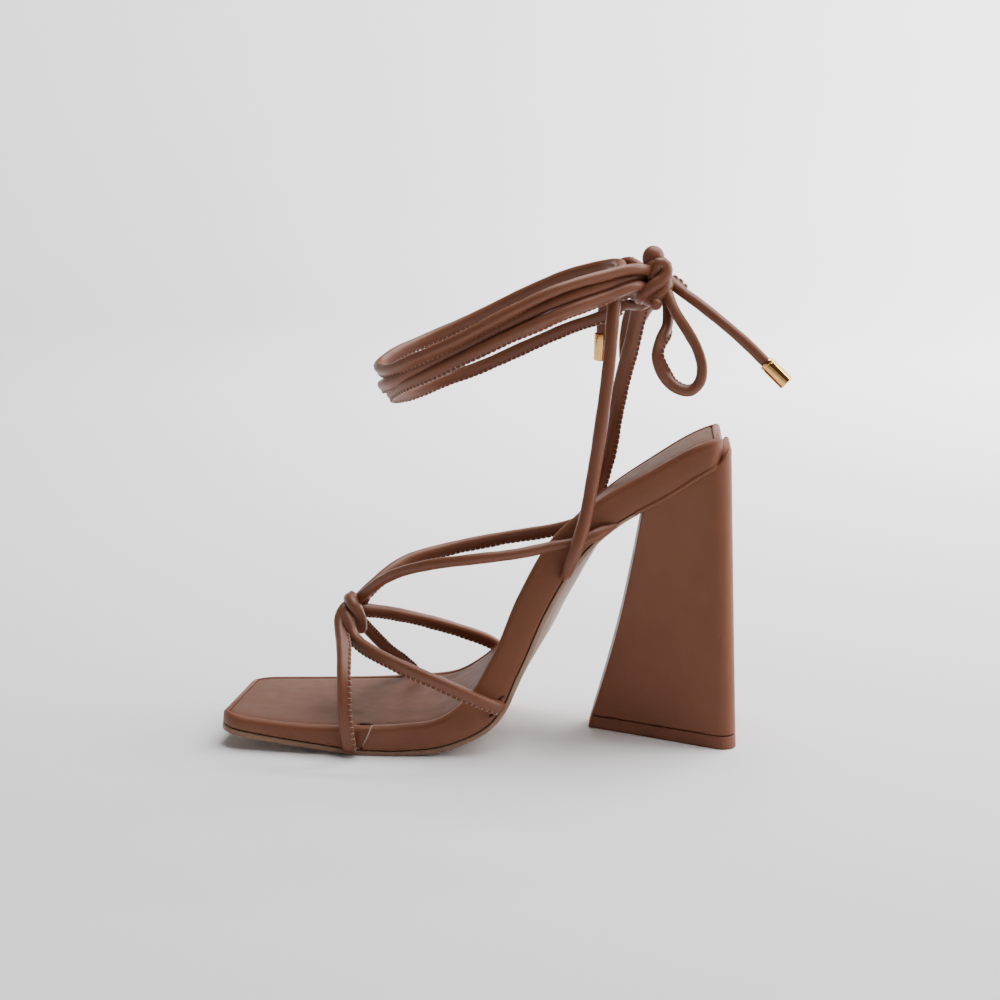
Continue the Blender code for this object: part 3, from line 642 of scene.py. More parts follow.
def leather(name, colour, grain, depth, smooth, rough, dark=0.93, light=1.06, shine=0.25, upper=None):
    """Finished leather: mottled colour, a fine pebbled grain and an uneven gloss.

    An upper colour takes over with height, between the two levels of EDGE_FADE.
    """
    made, wires, shader = surface(name, smooth)
    coords = object_coords(wires)
    patches = wires.times(noise(wires, coords, MOTTLE_PATCH), PATCH_SHARE)
    specks = wires.times(noise(wires, coords, MOTTLE_SPECK, detail=5.0), 1.0 - PATCH_SHARE)
    mottle = ranged(wires, wires.plus(patches, specks))
    tone = tinted(wires, mottle, colour, dark, light)
    if upper:
        height = wires.add("ShaderNodeSeparateXYZ", {0: coords}).outputs["Z"]
        rise = ranged(wires, height, stretch=[level * MM for level in EDGE_FADE])
        tone = blended(wires, rise, tone, tinted(wires, mottle, upper, dark, light))
    gloss = ranged(wires, noise(wires, coords, GLOSS_PATCH, detail=4.0), smooth, rough)
    cells = wires.first("ShaderNodeTexVoronoi", {
        "Vector": coords, "Scale": 1.0 / (grain * MM)}, feature="SMOOTH_F1")
    creases = noise(wires, coords, grain * CREASE_SPREAD, detail=4.0)
    bump = wires.first("ShaderNodeBump", {
        "Height": wires.plus(wires.times(cells, CELL_RELIEF), creases),
        "Strength": GRAIN_STRENGTH, "Distance": depth * MM})
    wires.fill(shader, {
        "Base Color": tone, "Roughness": gloss, "Normal": bump, "Specular IOR Level": shine})
    return made


def tan_leather(colours):
    return leather("tan_leather", colours.tan_leather, grain=0.42, depth=0.055, smooth=0.42, rough=0.54)


def strap_leather(colours):
    return leather("strap_leather", colours.strap_leather, grain=0.5, depth=0.035, smooth=0.33,
                   rough=0.43, shine=0.3)


def sock_leather(colours):
    return leather("sock_leather", colours.sock_leather, grain=0.36, depth=0.05, smooth=0.5, rough=0.62,
                   dark=0.92, light=1.07, shine=0.07)


# Painted shade: the outsole's edge is darker low round the forefoot and takes its own arch colour higher
# up
def sole_edge_with_painted_shade(colours):
    return leather("sole_edge_with_painted_shade", colours.sole_edge_with_painted_shade, grain=0.3, depth=0.05, smooth=0.45, rough=0.6,
                   dark=0.85, light=1.15, upper=colours.arch_edge)


def sole_bottom(colours):
    return leather("sole_bottom", colours.sole_bottom, grain=0.5, depth=0.06, smooth=0.55, rough=0.7,
                   dark=0.9, light=1.08)


def painted_gap_shade(colours):
    """Painted shade: the wrap's leather darkened to stand for the shadow inside a slit."""
    shaded = [GAP_SHADE * c for c in colours.tan_leather]
    return leather("painted_gap_shade", shaded, grain=0.4, depth=0.03, smooth=0.6, rough=0.75)


def lift_rubber(colours):
    return leather("lift_rubber", colours.lift_rubber, grain=0.25, depth=0.03, smooth=0.5, rough=0.65,
                   dark=0.85, light=1.15)


def cream_thread(colours):
    """Twisted sewing thread."""
    made, wires, shader = surface("cream_thread", roughness=0.7)
    strands = ranged(wires, noise(wires, object_coords(wires), size=0.25, detail=2.0))
    wires.fill(shader, {"Base Color": tinted(wires, strands, colours.thread, dark=0.75, light=1.15)})
    return made


def gold_metal(colours):
    """Polished plating with faint rub marks."""
    made, wires, shader = surface("gold_metal", roughness=0.16, metallic=1.0)
    coords = object_coords(wires)
    clouds = ranged(wires, noise(wires, coords, size=6.0))
    wires.fill(shader, {
        "Base Color": tinted(wires, clouds, colours.gold_metal, dark=0.92, light=1.08),
        "Roughness": ranged(wires, noise(wires, coords, size=0.9, detail=5.0), low=0.06, high=0.14)})
    return made


def ground_paper(colours):
    made, wires, shader = surface("ground_paper", roughness=0.85)
    clouds = ranged(wires, noise(wires, object_coords(wires), size=400.0, detail=2.0))
    wires.fill(shader, {"Base Color": tinted(wires, clouds, colours.ground, dark=0.985, light=1.01)})
    return made


MATERIALS = {make.__name__: make for make in (
    tan_leather, strap_leather, sock_leather, sole_edge_with_painted_shade, sole_bottom, lift_rubber, painted_gap_shade,
    cream_thread, gold_metal, ground_paper)}


def finish(context, name):
    """The named material, made once."""
    return bpy.data.materials.get(name + FINISH_MARK) or MATERIALS[name](context.scene.sandal_colours)


def dressed(context, mesh, angle, name, slot, node, *materials):
    """A piece from a mesh, shaded and with its named materials."""
    shade(mesh, angle, *(finish(context, material) for material in materials))
    return finish_piece(mesh, name, slot, node)


# Sole

class Last:
    """The sole's shape: sections square to the curved ridge line, worked out from the table."""

    def __init__(self, sizes):
        self.keys = chord_keys([(row.x, row.rise) for row in SOLE_SECTIONS])
        self.length = self.keys[-1]
        self.table = np.array(SOLE_SECTIONS, float)
        self.border = sizes.border_width / MM
        self.edge = sizes.edge_radius / MM

    def key_at_x(self, x):
        return float(np.interp(x, self.table[:, 0], self.keys))

    def row(self, key):
        return Section(*hermite(self.keys, self.table, key))

    def lean(self, key):
        before = self.row(key - LEAN_STEP)
        after = self.row(key + LEAN_STEP)
        angle = math.atan2(after.rise - before.rise, after.x - before.x)
        upright = min(max(1.0 - (self.length - key) / HEEL_END_UPRIGHT, 0.0), 1.0)
        return angle * (1.0 - upright)

    def corner(self, key, grow=0.0):
        """How far the outline draws in at the rounded toe corners and the round heel end."""
        drawn = 0.0
        for distance, radius in ((key, TOE_CORNER_RADIUS), (self.length + grow - key, HEEL_END_RADIUS)):
            reach = min(max(distance, 0.0), radius)
            drawn += radius - math.sqrt(radius**2 - (radius - reach)**2)
        return drawn

    def end_drop(self, key):
        """How far the rounded upper edge lies below the ridge at the two ends."""
        reach = min(max(min(key, self.length - END_CAP - key), 0.0), self.edge)
        return self.edge - math.sqrt(self.edge**2 - (self.edge - reach)**2)

    def border_at(self, key):
        """Width of the wrapped border, which narrows round the toe."""
        grown = np.interp(key, TOE_BORDER_SPAN, (0.0, 1.0))
        return TOE_BORDER + (self.border - TOE_BORDER) * grown * grown * (3 - 2 * grown)

    def outsole_thickness(self, key):
        along = min(max(key / self.key_at_x(OUTSOLE_END_X), 0.0), 1.0)
        return OUTSOLE_FOREFOOT + (OUTSOLE_BREAST - OUTSOLE_FOREFOOT) * along

    def platform_depth(self, key):
        return self.row(key).thick - self.outsole_thickness(key) - CLEARANCE

    def stations(self, start, end):
        """Keys from start to end, close together where the ends round off."""
        near = list(END_STATIONS)
        for border in (TOE_BORDER, self.border):
            near += [border - BORDER_STATION, border + BORDER_STATION]
        keys = [start, end]
        for step in near:
            keys += [start + step, end - step]
        middle = np.linspace(start + END_SPAN, end - END_SPAN, int((end - start) / STATION_SPACING))
        return sorted(keys + list(middle))

    def ring(self, key, half, grow=0.0):
        """One section from (inset, depth) pairs of its medial edge, repeated on the lateral edge."""
        row = self.row(key)
        lean = self.lean(key)
        drawn = self.corner(key, grow) - grow
        slant = TOE_SLANT * min(max(1.0 - key / TOE_SLANT_LENGTH, 0.0), 1.0)
        middle = (row.medial + row.lateral) / 2
        pairs = [(row.medial + drawn + inset, depth) for inset, depth in half]
        pairs += [(row.lateral - drawn - inset, depth) for inset, depth in reversed(half)]
        points = []
        for y, depth in pairs:
            depth += row.drop * (y - row.medial) / (row.lateral - row.medial)
            x = row.x + math.sin(lean) * depth + slant * (y - middle)
            points.append((x, y, max(row.rise - math.cos(lean) * depth, 0.0)))
        return points


def quarter(radius):
    """(inset, depth) pairs of a rounded upper edge, from the wall to the top."""
    angles = [math.pi / 2 * k / ARC_STEPS for k in range(ARC_STEPS + 1)]
    return [(radius * (1 - math.cos(a)), radius * (1 - math.sin(a))) for a in angles]


def platform_mesh(last):
    bevel = BOTTOM_EDGE_BEVEL
    rings = []
    for key in last.stations(0.0, last.length - END_CAP):
        bottom = last.platform_depth(key)
        border = last.border_at(key)
        recess = INSOLE_RECESS if TOE_BORDER < key < last.length - last.border else END_RECESS
        wall = bottom - bevel
        half = [(bevel, bottom), (BEVEL_MIDDLE * bevel, bottom - BEVEL_MIDDLE * bevel),
                (0.0, wall), (0.0, (wall + last.edge) / 2)]
        half += quarter(last.edge)
        half += [(border - back, depth) for back, depth in BORDER_ROLL]
        half += [(border, recess)]
        drop = last.end_drop(key)
        rings.append(last.ring(key, [(inset, max(depth, drop)) for inset, depth in half]))
    return loft(rings)


def outsole_mesh(last):
    bevel = BOTTOM_EDGE_BEVEL
    rings = []
    for key in last.stations(0.0, last.key_at_x(OUTSOLE_END_X)):
        thick = last.row(key).thick
        top = thick - last.outsole_thickness(key)
        half = [(bevel, thick), (BEVEL_MIDDLE * bevel, thick - OUTSOLE_BEVEL_DEPTH * bevel),
                (0.0, thick - bevel), (0.0, top + OUTSOLE_TOP_BEVEL), (OUTSOLE_TOP_BEVEL, top)]
        rings.append(last.ring(key, half))
    return loft(rings)


def sock_mesh(last):
    top = INSOLE_BELOW_BORDER
    middle = SOCK_EDGE_MIDDLE
    start = TOE_BORDER + SOCK_GAP
    end = last.length - last.border - SOCK_GAP
    rings = []
    for key in last.stations(start, end):
        inset = last.border_at(key) + SOCK_GAP
        from_end = min(key - start, end - key)
        crown = INSOLE_CROWN * min(from_end / SOCK_END_SPAN, 1.0)
        soft = max(SOCK_EDGE_ROUND - from_end, 0.0)
        half = [(inset, INSOLE_RECESS - SOCK_GAP), (inset, top + SOCK_EDGE_ROUND),
                (inset + middle, top + middle + soft), (inset + SOCK_EDGE_ROUND, top + soft)]
        half += [(inset + across, top - share * crown) for across, share in SOCK_CROWN_ROWS]
        rings.append(last.ring(key, half))
    return loft(rings)


def seat_edge_mesh(last):
    """A thin rolled edge under the platform, from the heel's breast round its back."""
    medial = []
    lateral = []
    for key in last.stations(last.key_at_x(OUTSOLE_END_X) - SEAT_EDGE_LEAD, last.length - END_CAP):
        ring = last.ring(key, [(SEAT_EDGE_INSET, last.platform_depth(key) + CLEARANCE)])
        medial.append(ring[0])
        lateral.append(ring[-1])
    path = np.array(medial + lateral[::-1], float)
    return loft(tube_rings(path, [SEAT_EDGE_RADIUS] * len(path)))


def seat_cutter(last):
    """The platform's outer form with the clearance added, to seat the heel on."""
    rings = []
    end = last.length - END_CAP
    for key in last.stations(last.key_at_x(OUTSOLE_END_X) - CUTTER_LEAD, end) + [end + CLEARANCE]:
        bottom = last.platform_depth(key) + CLEARANCE
        half = [(BOTTOM_EDGE_BEVEL, bottom), (0.0, bottom - BOTTOM_EDGE_BEVEL), (0.0, -CUTTER_RISE)]
        rings.append(last.ring(key, half, CLEARANCE))
    return loft(rings)


# Heel

def rounded_corner(before, corner, after, radius):
    """Arc points that replace a corner of a plan outline."""
    corner = np.array(corner, float)
    to_before = np.array(before, float) - corner
    to_after = np.array(after, float) - corner
    to_before /= np.linalg.norm(to_before)
    to_after /= np.linalg.norm(to_after)
    half_angle = math.acos(np.clip(np.dot(to_before, to_after), -1, 1)) / 2
    bisector = (to_before + to_after) / np.linalg.norm(to_before + to_after)
    centre = corner + bisector * radius / math.sin(half_angle)
    reach = radius / math.tan(half_angle)
    start = corner + to_before * reach - centre
    end = corner + to_after * reach - centre
    sweep = math.pi - 2 * half_angle
    points = []
    for k in range(CORNER_STEPS + 1):
        share = k / CORNER_STEPS
        weight_start = math.sin((1 - share) * sweep) / math.sin(sweep)
        weight_end = math.sin(share * sweep) / math.sin(sweep)
        points.append(centre + start * weight_start + end * weight_end)
    return points


def heel_ring(level, height_at, inset=0.0):
    keys = [plan.level for plan in HEEL_PLANS]
    plan = HeelPlan(*hermite(keys, np.array(HEEL_PLANS, float), level))
    front = plan.front + inset
    back = plan.back - inset
    corners = (
        ((front, plan.centre - plan.front_half + inset), plan.front_round),
        ((back, plan.centre - plan.back_half + inset), plan.back_round),
        ((back, plan.centre + plan.back_half - inset), plan.back_round),
        ((front, plan.centre + plan.front_half - inset), plan.front_round),
    )
    outline = []
    for i, (corner, radius) in enumerate(corners):
        outline += rounded_corner(corners[i - 1][0], corner, corners[(i + 1) % 4][0], radius)
    return [(x, y, height_at(x)) for x, y in outline]


def heel_top(x):
    return float(np.interp(x, *zip(*HEEL_TOP)))


def heel_mesh(last):
    start = TOP_LIFT_HEIGHT + CLEARANCE
    low = start + EDGE_SOFTENING
    rings = [heel_ring(start / HEEL_SEAT_Z, lambda x: start, EDGE_SOFTENING)]
    for share in np.linspace(0.0, 1.0, HEEL_LEVELS):
        level = (low + share * (HEEL_SEAT_Z - low)) / HEEL_SEAT_Z
        rings.append(heel_ring(level, lambda x: low + share * (heel_top(x) - HEEL_LIP_ROUND - low)))
    for inset, depth in quarter(HEEL_LIP_ROUND)[1:]:
        rings.append(heel_ring(1.0, lambda x: heel_top(x) - depth, inset))
    block = linked("heel_block", loft(rings))
    cutter = linked("seat_cutter", seat_cutter(last))
    cut = block.modifiers.new("seat", "BOOLEAN")
    cut.operation = "DIFFERENCE"
    cut.object = cutter
    mesh = plain_mesh(block)
    bpy.data.objects.remove(cutter, do_unlink=True)
    return mesh


def top_lift_mesh():
    levels = ((0.0, LIFT_BEVEL_INSET), (LIFT_BEVEL_HEIGHT, 0.0),
              (TOP_LIFT_HEIGHT - LIFT_BEVEL_HEIGHT, 0.0), (TOP_LIFT_HEIGHT, LIFT_BEVEL_INSET))
    return loft([heel_ring(z / HEEL_SEAT_Z, lambda x: z, inset) for z, inset in levels])


# Straps and laces

def rolled_strap_tree():
    """Sweeps a strap with its seam along a path, and sews the seam with scallops and stitches."""
    tree = bpy.data.node_groups.new("Rolled strap", "GeometryNodeTree")
    sockets = (
        ("Geometry", ("Path",)),
        ("Float", ("Radius", "Seam Width", "Seam Thickness", "Stitch Pitch", "Thread Radius")),
        ("Int", ("Sides",)),
        ("Material", ("Leather", "Thread")),
    )
    for kind, names in sockets:
        for name in names:
            tree.interface.new_socket(name, in_out="INPUT", socket_type="NodeSocket" + kind)
    tree.interface.new_socket("Strap", in_out="OUTPUT", socket_type="NodeSocketGeometry")
    wires = Wiring(tree)
    given = wires.add("NodeGroupInput").outputs
    radius = given["Radius"]
    width = given["Seam Width"]
    pitch = given["Stitch Pitch"]
    thread = given["Thread Radius"]
    side = wires.attribute("seam_side", "FLOAT_VECTOR")
    girth = wires.attribute("girth")

    line = wires.first("GeometryNodeMeshToCurve", {"Mesh": given["Path"]})
    line = wires.first("GeometryNodeSetCurveNormal", {"Curve": line, "Normal": side}, mode="FREE")
    profile = wires.first("GeometryNodeCurvePrimitiveCircle", {
        "Resolution": given["Sides"], "Radius": radius})
    spot = wires.add("ShaderNodeSeparateXYZ", {0: wires.first("GeometryNodeInputPosition")}).outputs
    fin = wires.first("ShaderNodeMapRange", {
        "Value": wires.calc("DIVIDE", spot["X"], radius), "From Min": SEAM_FROM, "From Max": 1.0,
    }, interpolation_type="SMOOTHSTEP")
    offset = wires.vector({
        "X": wires.times(wires.times(fin, width), SEAM_REACH),
        "Y": wires.times(wires.times(fin, spot["Y"]), SEAM_PINCH)})
    profile = wires.first("GeometryNodeSetPosition", {"Geometry": profile, "Offset": offset})
    roll = wires.first("GeometryNodeCurveToMesh", {
        "Curve": line, "Profile Curve": profile, "Scale": girth, "Fill Caps": True})
    roll = wires.first("GeometryNodeSetMaterial", {"Geometry": roll, "Material": given["Leather"]})

    spots = wires.first("GeometryNodeResampleCurve", {"Curve": line, "Length": pitch}, mode="LENGTH")
    sewn_here = wires.calc("GREATER_THAN", wires.attribute("sewn"), SEWN_ABOVE)
    turn = wires.first("FunctionNodeAlignRotationToVector", {"Vector": side}, axis="Z")
    turn = wires.first("FunctionNodeAlignRotationToVector", {
        "Rotation": turn, "Vector": wires.first("GeometryNodeInputTangent")}, axis="X", pivot_axis="Z")

    def sewn(fineness, scale, place, material):
        """A row of small rounded shapes along the seam."""
        blob = wires.first("GeometryNodeMeshUVSphere", {
            "Segments": fineness[0], "Rings": fineness[1], "Radius": 1.0})
        blob = wires.first("GeometryNodeTransform", {
            "Geometry": blob, "Translation": wires.vector(place), "Scale": wires.vector(scale)})
        row = wires.first("GeometryNodeInstanceOnPoints", {
            "Points": spots, "Selection": sewn_here, "Instance": blob, "Rotation": turn, "Scale": girth})
        row = wires.first("GeometryNodeRealizeInstances", {"Geometry": row})
        return wires.first("GeometryNodeSetMaterial", {"Geometry": row, "Material": material})

    half_seam = wires.times(given["Seam Thickness"], 0.5)
    half_scallop = wires.times(width, SCALLOP_HEIGHT)
    scallops = sewn(
        SCALLOP_MESH, {"X": wires.times(pitch, SCALLOP_LENGTH), "Y": half_seam, "Z": half_scallop},
        {"Z": wires.plus(radius, half_scallop)}, given["Leather"])
    stitches = sewn(
        STITCH_MESH,
        {"X": thread, "Y": wires.plus(half_seam, thread), "Z": wires.times(width, STITCH_HEIGHT)},
        {"X": wires.times(pitch, STITCH_PLACE), "Z": wires.plus(radius, wires.times(width, STITCH_LIFT))},
        given["Thread"])

    join = wires.add("GeometryNodeJoinGeometry")
    for part in (roll, scallops, stitches):
        tree.links.new(part, join.inputs[0])
    smooth = wires.first("GeometryNodeSetShadeSmooth", {"Geometry": join.outputs[0]})
    wires.add("NodeGroupOutput", {"Strap": smooth})
    return tree


def set_inputs(modifier, values):
    for item in modifier.node_group.interface.items_tree:
        if item.in_out == "INPUT" and item.name in values:
            modifier[item.identifier] = values[item.name]


Run = namedtuple("Run", "points sides girths sewn", defaults=(True,))
Strand = namedtuple("Strand", "path seam_side sewn girth")


def strand(run, sizes):
    """A run's fine path, with its seam's side, whether it is sewn there and its girth."""
    path, at = smooth_route(run.points, sizes.strap_step / MM, END_STEPS)
    keys = chord_keys(run.points)
    sides = np.asarray(run.sides, float)
    facing = np.column_stack([np.interp(at, keys, sides[:, axis]) for axis in range(3)])
    tangents = tangents_of(path)
    facing -= tangents * np.sum(facing * tangents, axis=1)[:, None]
    facing /= np.linalg.norm(facing, axis=1)[:, None]
    along = chord_keys(path)
    girth = np.interp(at, keys, run.girths)
    from_end = np.minimum(along, along[-1] - along) / (girth * sizes.strap_radius / MM)
    dome = np.sqrt(1 - (1 - np.clip(from_end, 0, 1))**2)
    waves = [size * np.sin(along * rate + shift) for size, rate, shift in GIRTH_WAVES]
    girth = girth * np.maximum(dome, END_GIRTH) * (1 + np.sum(waves, axis=0))
    sewn = run.sewn * (from_end > 1)
    return Strand(path, facing, sewn, girth)


def path_object(strands):
    """Edges along each strand's path, with its values at each point."""
    verts = []
    edges = []
    for item in strands:
        first = len(verts)
        verts += [placed(point) for point in item.path]
        edges += [(i, i + 1) for i in range(first, len(verts) - 1)]
    mesh = bpy.data.meshes.new("path")
    mesh.from_pydata(verts, edges, [])
    for name, kind, field in STRAND_VALUES:
        values = np.concatenate([getattr(item, name) for item in strands]).astype(np.float32)
        mesh.attributes.new(name, kind, "POINT").data.foreach_set(field, values.ravel())
    return linked("path", mesh)


def rolled_mesh(context, runs):
    """Mesh of rolled straps along runs, made by the strap tree."""
    sizes = context.scene.sandal_sizes
    item = path_object([strand(run, sizes) for run in runs])
    modifier = item.modifiers.new("roll", "NODES")
    modifier.node_group = bpy.data.node_groups.get("Rolled strap") or rolled_strap_tree()
    set_inputs(modifier, {
        "Radius": sizes.strap_radius, "Seam Width": sizes.seam_width,
        "Seam Thickness": sizes.seam_thickness, "Stitch Pitch": sizes.stitch_pitch,
        "Thread Radius": sizes.thread_radius, "Sides": sizes.strap_sides,
        "Leather": finish(context, "strap_leather"), "Thread": finish(context, "cream_thread"),
    })
    mesh = plain_mesh(item)
    for value in STRAND_VALUES:
        if value[0] in mesh.attributes:
            mesh.attributes.remove(mesh.attributes[value[0]])
    return mesh


def strap_run(strap):
    count = len(strap.points)
    sides = [strap.seam or HIDDEN_SEAM] * count
    girths = [strap.girth] * (count - len(strap.foot)) + list(strap.foot)
    return Run(strap.points, sides, girths, strap.seam is not None)


def ankle_half_width(share):
    """Half width of the ankle from front (0) to back (1), narrower at the back."""
    oval = (1 - abs(2 * share - 1)**ANKLE_FULLNESS)**ANKLE_END_ROUND
    return ANKLE_HALF_WIDTH * oval * (ANKLE_TAPER[0] - ANKLE_TAPER[1] * share)


def ankle_turn(turn, forward):
    """Points of one strand along a side of the ankle, with the front point left out."""
    rows = []
    for share in ANKLE_STEPS:
        x = turn.front_x + share * (ANKLE_BACK_X - turn.front_x)
        inset = turn.inset * min(1.0, share / ANKLE_STEPS[1])
        y = ANKLE_CENTRE_Y + turn.side * (ankle_half_width(share) - inset)
        z = float(hermite(ANKLE_HEIGHT_KEYS, turn[-len(ANKLE_HEIGHT_KEYS):], share))
        rows.append((x, y, z))
    return rows[::-1] if forward else rows


def front_point(first, second):
    return [(first.front_x - ANKLE_FRONT_LEAD, ANKLE_CENTRE_Y, (first.front + second.front) / 2)]


def joined(*stretches):
    """One run from stretches of points, each with the side its seam is on and maybe a girth."""
    points = []
    sides = []
    girths = []
    for stretch, side, *girth in stretches:
        points += list(stretch)
        sides += [side] * len(stretch)
        girths += (girth or [1.0]) * len(stretch)
    return Run(points, sides, girths)


def medial_lace():
    home = ankle_turn(TURN_A_HOME, False)
    return joined(
        (MEDIAL_RISER[:RISER_FOOT], SEAM_AWAY, RISER_FOOT_GIRTH),
        (MEDIAL_RISER[RISER_FOOT:], SEAM_AWAY, RISER_GIRTHS[0]),
        (ankle_turn(TURN_A_OUT, True), SEAM_DOWN),
        (front_point(TURN_A_OUT, TURN_A_HOME), SEAM_UNDER),
        (home[:BACK_STEP], SEAM_UNDER),
        (home[BACK_STEP:], SEAM_TUCKED),
        (MEDIAL_TO_KNOT, HIDDEN_SEAM))


def lateral_lace():
    first = ankle_turn(TURN_B_FIRST, True)
    near = ankle_turn(TURN_B_NEAR, True)
    return joined(
        (LATERAL_RISER[:RISER_FOOT], SEAM_BACK, RISER_FOOT_GIRTH),
        (LATERAL_RISER[RISER_FOOT:-2], SEAM_BACK, RISER_GIRTHS[1]),
        (LATERAL_RISER[-2:], HIDDEN_SEAM),
        (first[:-BACK_STEP], SEAM_TUCKED, FIRST_TURN_GIRTH),
        (first[-BACK_STEP:], SEAM_UNDER, FIRST_TURN_GIRTH),
        (front_point(TURN_B_FIRST, TURN_B_FAR), SEAM_UNDER),
        (ankle_turn(TURN_B_FAR, False), SEAM_DOWN),
        (BACK_CROSSING, SEAM_TUCKED),
        (near[:-BACK_STEP], SEAM_UNDER),
        (near[-BACK_STEP:], SEAM_DOWN),
        (front_point(TURN_B_NEAR, TURN_B_LAST), SEAM_DOWN),
        (ankle_turn(TURN_B_LAST, False), SEAM_DOWN),
        (LATERAL_TO_KNOT, HIDDEN_SEAM))


def loop_run(points, ends, seam_leans):
    """A bow loop that starts and ends inside the knot.

    At the points in seam_leans its seam turns to the loop's middle and leans along Y by their values.
    """
    middle = np.mean(points, axis=0)
    sides = [HIDDEN_SEAM] * len(points)
    for i, lean in seam_leans.items():
        sides[i] = tuple(middle - np.array(points[i]) + (0.0, lean, 0.0))
    return joined(([ends[0]], HIDDEN_SEAM), *(([point], side) for point, side in zip(points, sides)),
                  ([ends[1]], HIDDEN_SEAM))


def ball_rings(ball):
    """Rings of an ellipsoid from its top to its bottom, with a tiny ring for each pole."""
    across, over, up = np.diag(ball.radii)
    slants = [math.pi * k / BALL_LEVELS for k in range(1, BALL_LEVELS)]
    return [round_ring(ball.centre + math.cos(a) * up, math.sin(a), across, over, BALL_SIDES)
            for a in (BALL_POLE, *slants, math.pi - BALL_POLE)]


def knot_mesh(context, balls, wraps):
    """A tied knot: a core with the folds and strands that lie over it."""
    mesh = rolled_mesh(context, [strap_run(wrap) for wrap in wraps])
    leather_slot = mesh.materials.find(finish(context, "strap_leather").name)
    shape = bmesh.new()
    shape.from_mesh(mesh)
    for ball in balls:
        first = len(shape.faces)
        shape.from_mesh(loft(ball_rings(ball)))
        shape.faces.ensure_lookup_table()
        for face in shape.faces[first:]:
            face.smooth = True
            face.material_index = leather_slot
    shape.to_mesh(mesh)
    shape.free()
    return mesh


# Lines in the wrapped edge

def edge_line_mesh(line):
    """A thin line let into the wrapped edge, tapered at both ends."""
    path = smooth_route(line.points, EDGE_LINE_STEP)[0]
    share = np.linspace(0, 1, len(path))
    radii = line.radius * np.clip(EDGE_LINE_TAPER * np.minimum(share, 1 - share), EDGE_LINE_END, 1)
    return loft(tube_rings(path, radii))


# Lace tips

def aglet_mesh(path):
    """A crimped metal tube over the end of a lace, closed at its tip."""
    along = path[-1] - path[-2]
    along /= np.linalg.norm(along)
    across = np.cross(along, (0.0, 1.0, 0.0))
    across /= np.linalg.norm(across)
    over = np.cross(along, across)
    start = path[-1] + along * CLEARANCE
    profile = AGLET_MOUTH + tuple((AGLET_LENGTH + reach, share) for reach, share in AGLET_END)
    return loft([round_ring(start + along * reach, AGLET_RADIUS * share, across, over, AGLET_SIDES)
                 for reach, share in profile])


# Operators

class SANDAL_OT_stage(bpy.types.Operator):
    """Add the camera, the soft studio light and the pale ground"""

    bl_idname = "sandal.stage"
    bl_label = "Stage"

    def execute(self, context):
        stage = context.scene.sandal_stage
        target = Vector(stage.target)
        a, e = stage.azimuth, stage.elevation
        back = Vector((math.sin(a) * math.cos(e), -math.cos(a) * math.cos(e), math.sin(e)))
        camera = linked("camera", bpy.data.cameras.new("camera"))
        camera.data.lens = stage.lens
        camera.data.sensor_width = SENSOR_WIDTH
        camera.data.clip_start = CLIP_START
        self.aim(camera, target + back * stage.distance, target)
        context.scene.camera = camera
        for name, place, size, power, lit_point in STUDIO_LIGHTS:
            lamp = linked(name, bpy.data.lights.new(name, "AREA"))
            lamp.data.shape = "RECTANGLE"
            lamp.data.size, lamp.data.size_y = size
            lamp.data.energy = power
            self.aim(lamp, place, lit_point)
        world = bpy.data.worlds.new("studio")
        world.use_nodes = True
        sky = world.node_tree.nodes["Background"].inputs
        sky["Color"].default_value = SKY_COLOUR
        sky["Strength"].default_value = stage.sky
        context.scene.world = world
        self.ground(context)
        return {"FINISHED"}

    def aim(self, item, place, target):
        item.location = place
        item.rotation_mode = "QUATERNION"
        item.rotation_quaternion = (Vector(target) - Vector(place)).to_track_quat("-Z", "Y")

    def ground(self, context):
        """A round floor that sweeps up into a backdrop far from the shoe."""
        flat = GROUND_RINGS[-1]
        rows = [(radius, 0.0) for radius in GROUND_RINGS]
        rows += [(flat + GROUND_RIM * math.sin(a), GROUND_RIM * (1 - math.cos(a)))
                 for a in GROUND_RIM_ANGLES]
        shape = bmesh.new()
        centre = shape.verts.new((0.0, 0.0, 0.0))
        across, over, up = np.eye(3)
        rings = []
        for radius, height in rows:
            ring = round_ring(height * up, radius, across, over, GROUND_SIDES)
            rings.append([shape.verts.new(point) for point in ring])
        for i in range(GROUND_SIDES):
            j = (i + 1) % GROUND_SIDES
            shape.faces.new((centre, rings[0][i], rings[0][j]))
            for inner, outer in zip(rings, rings[1:]):
                shape.faces.new((inner[i], outer[i], outer[j], inner[j]))
        mesh = bpy.data.meshes.new("ground")
        shape.to_mesh(mesh)
        shape.free()
        linked("ground", shade(mesh, ROUND_SHARP, finish(context, "ground_paper")))


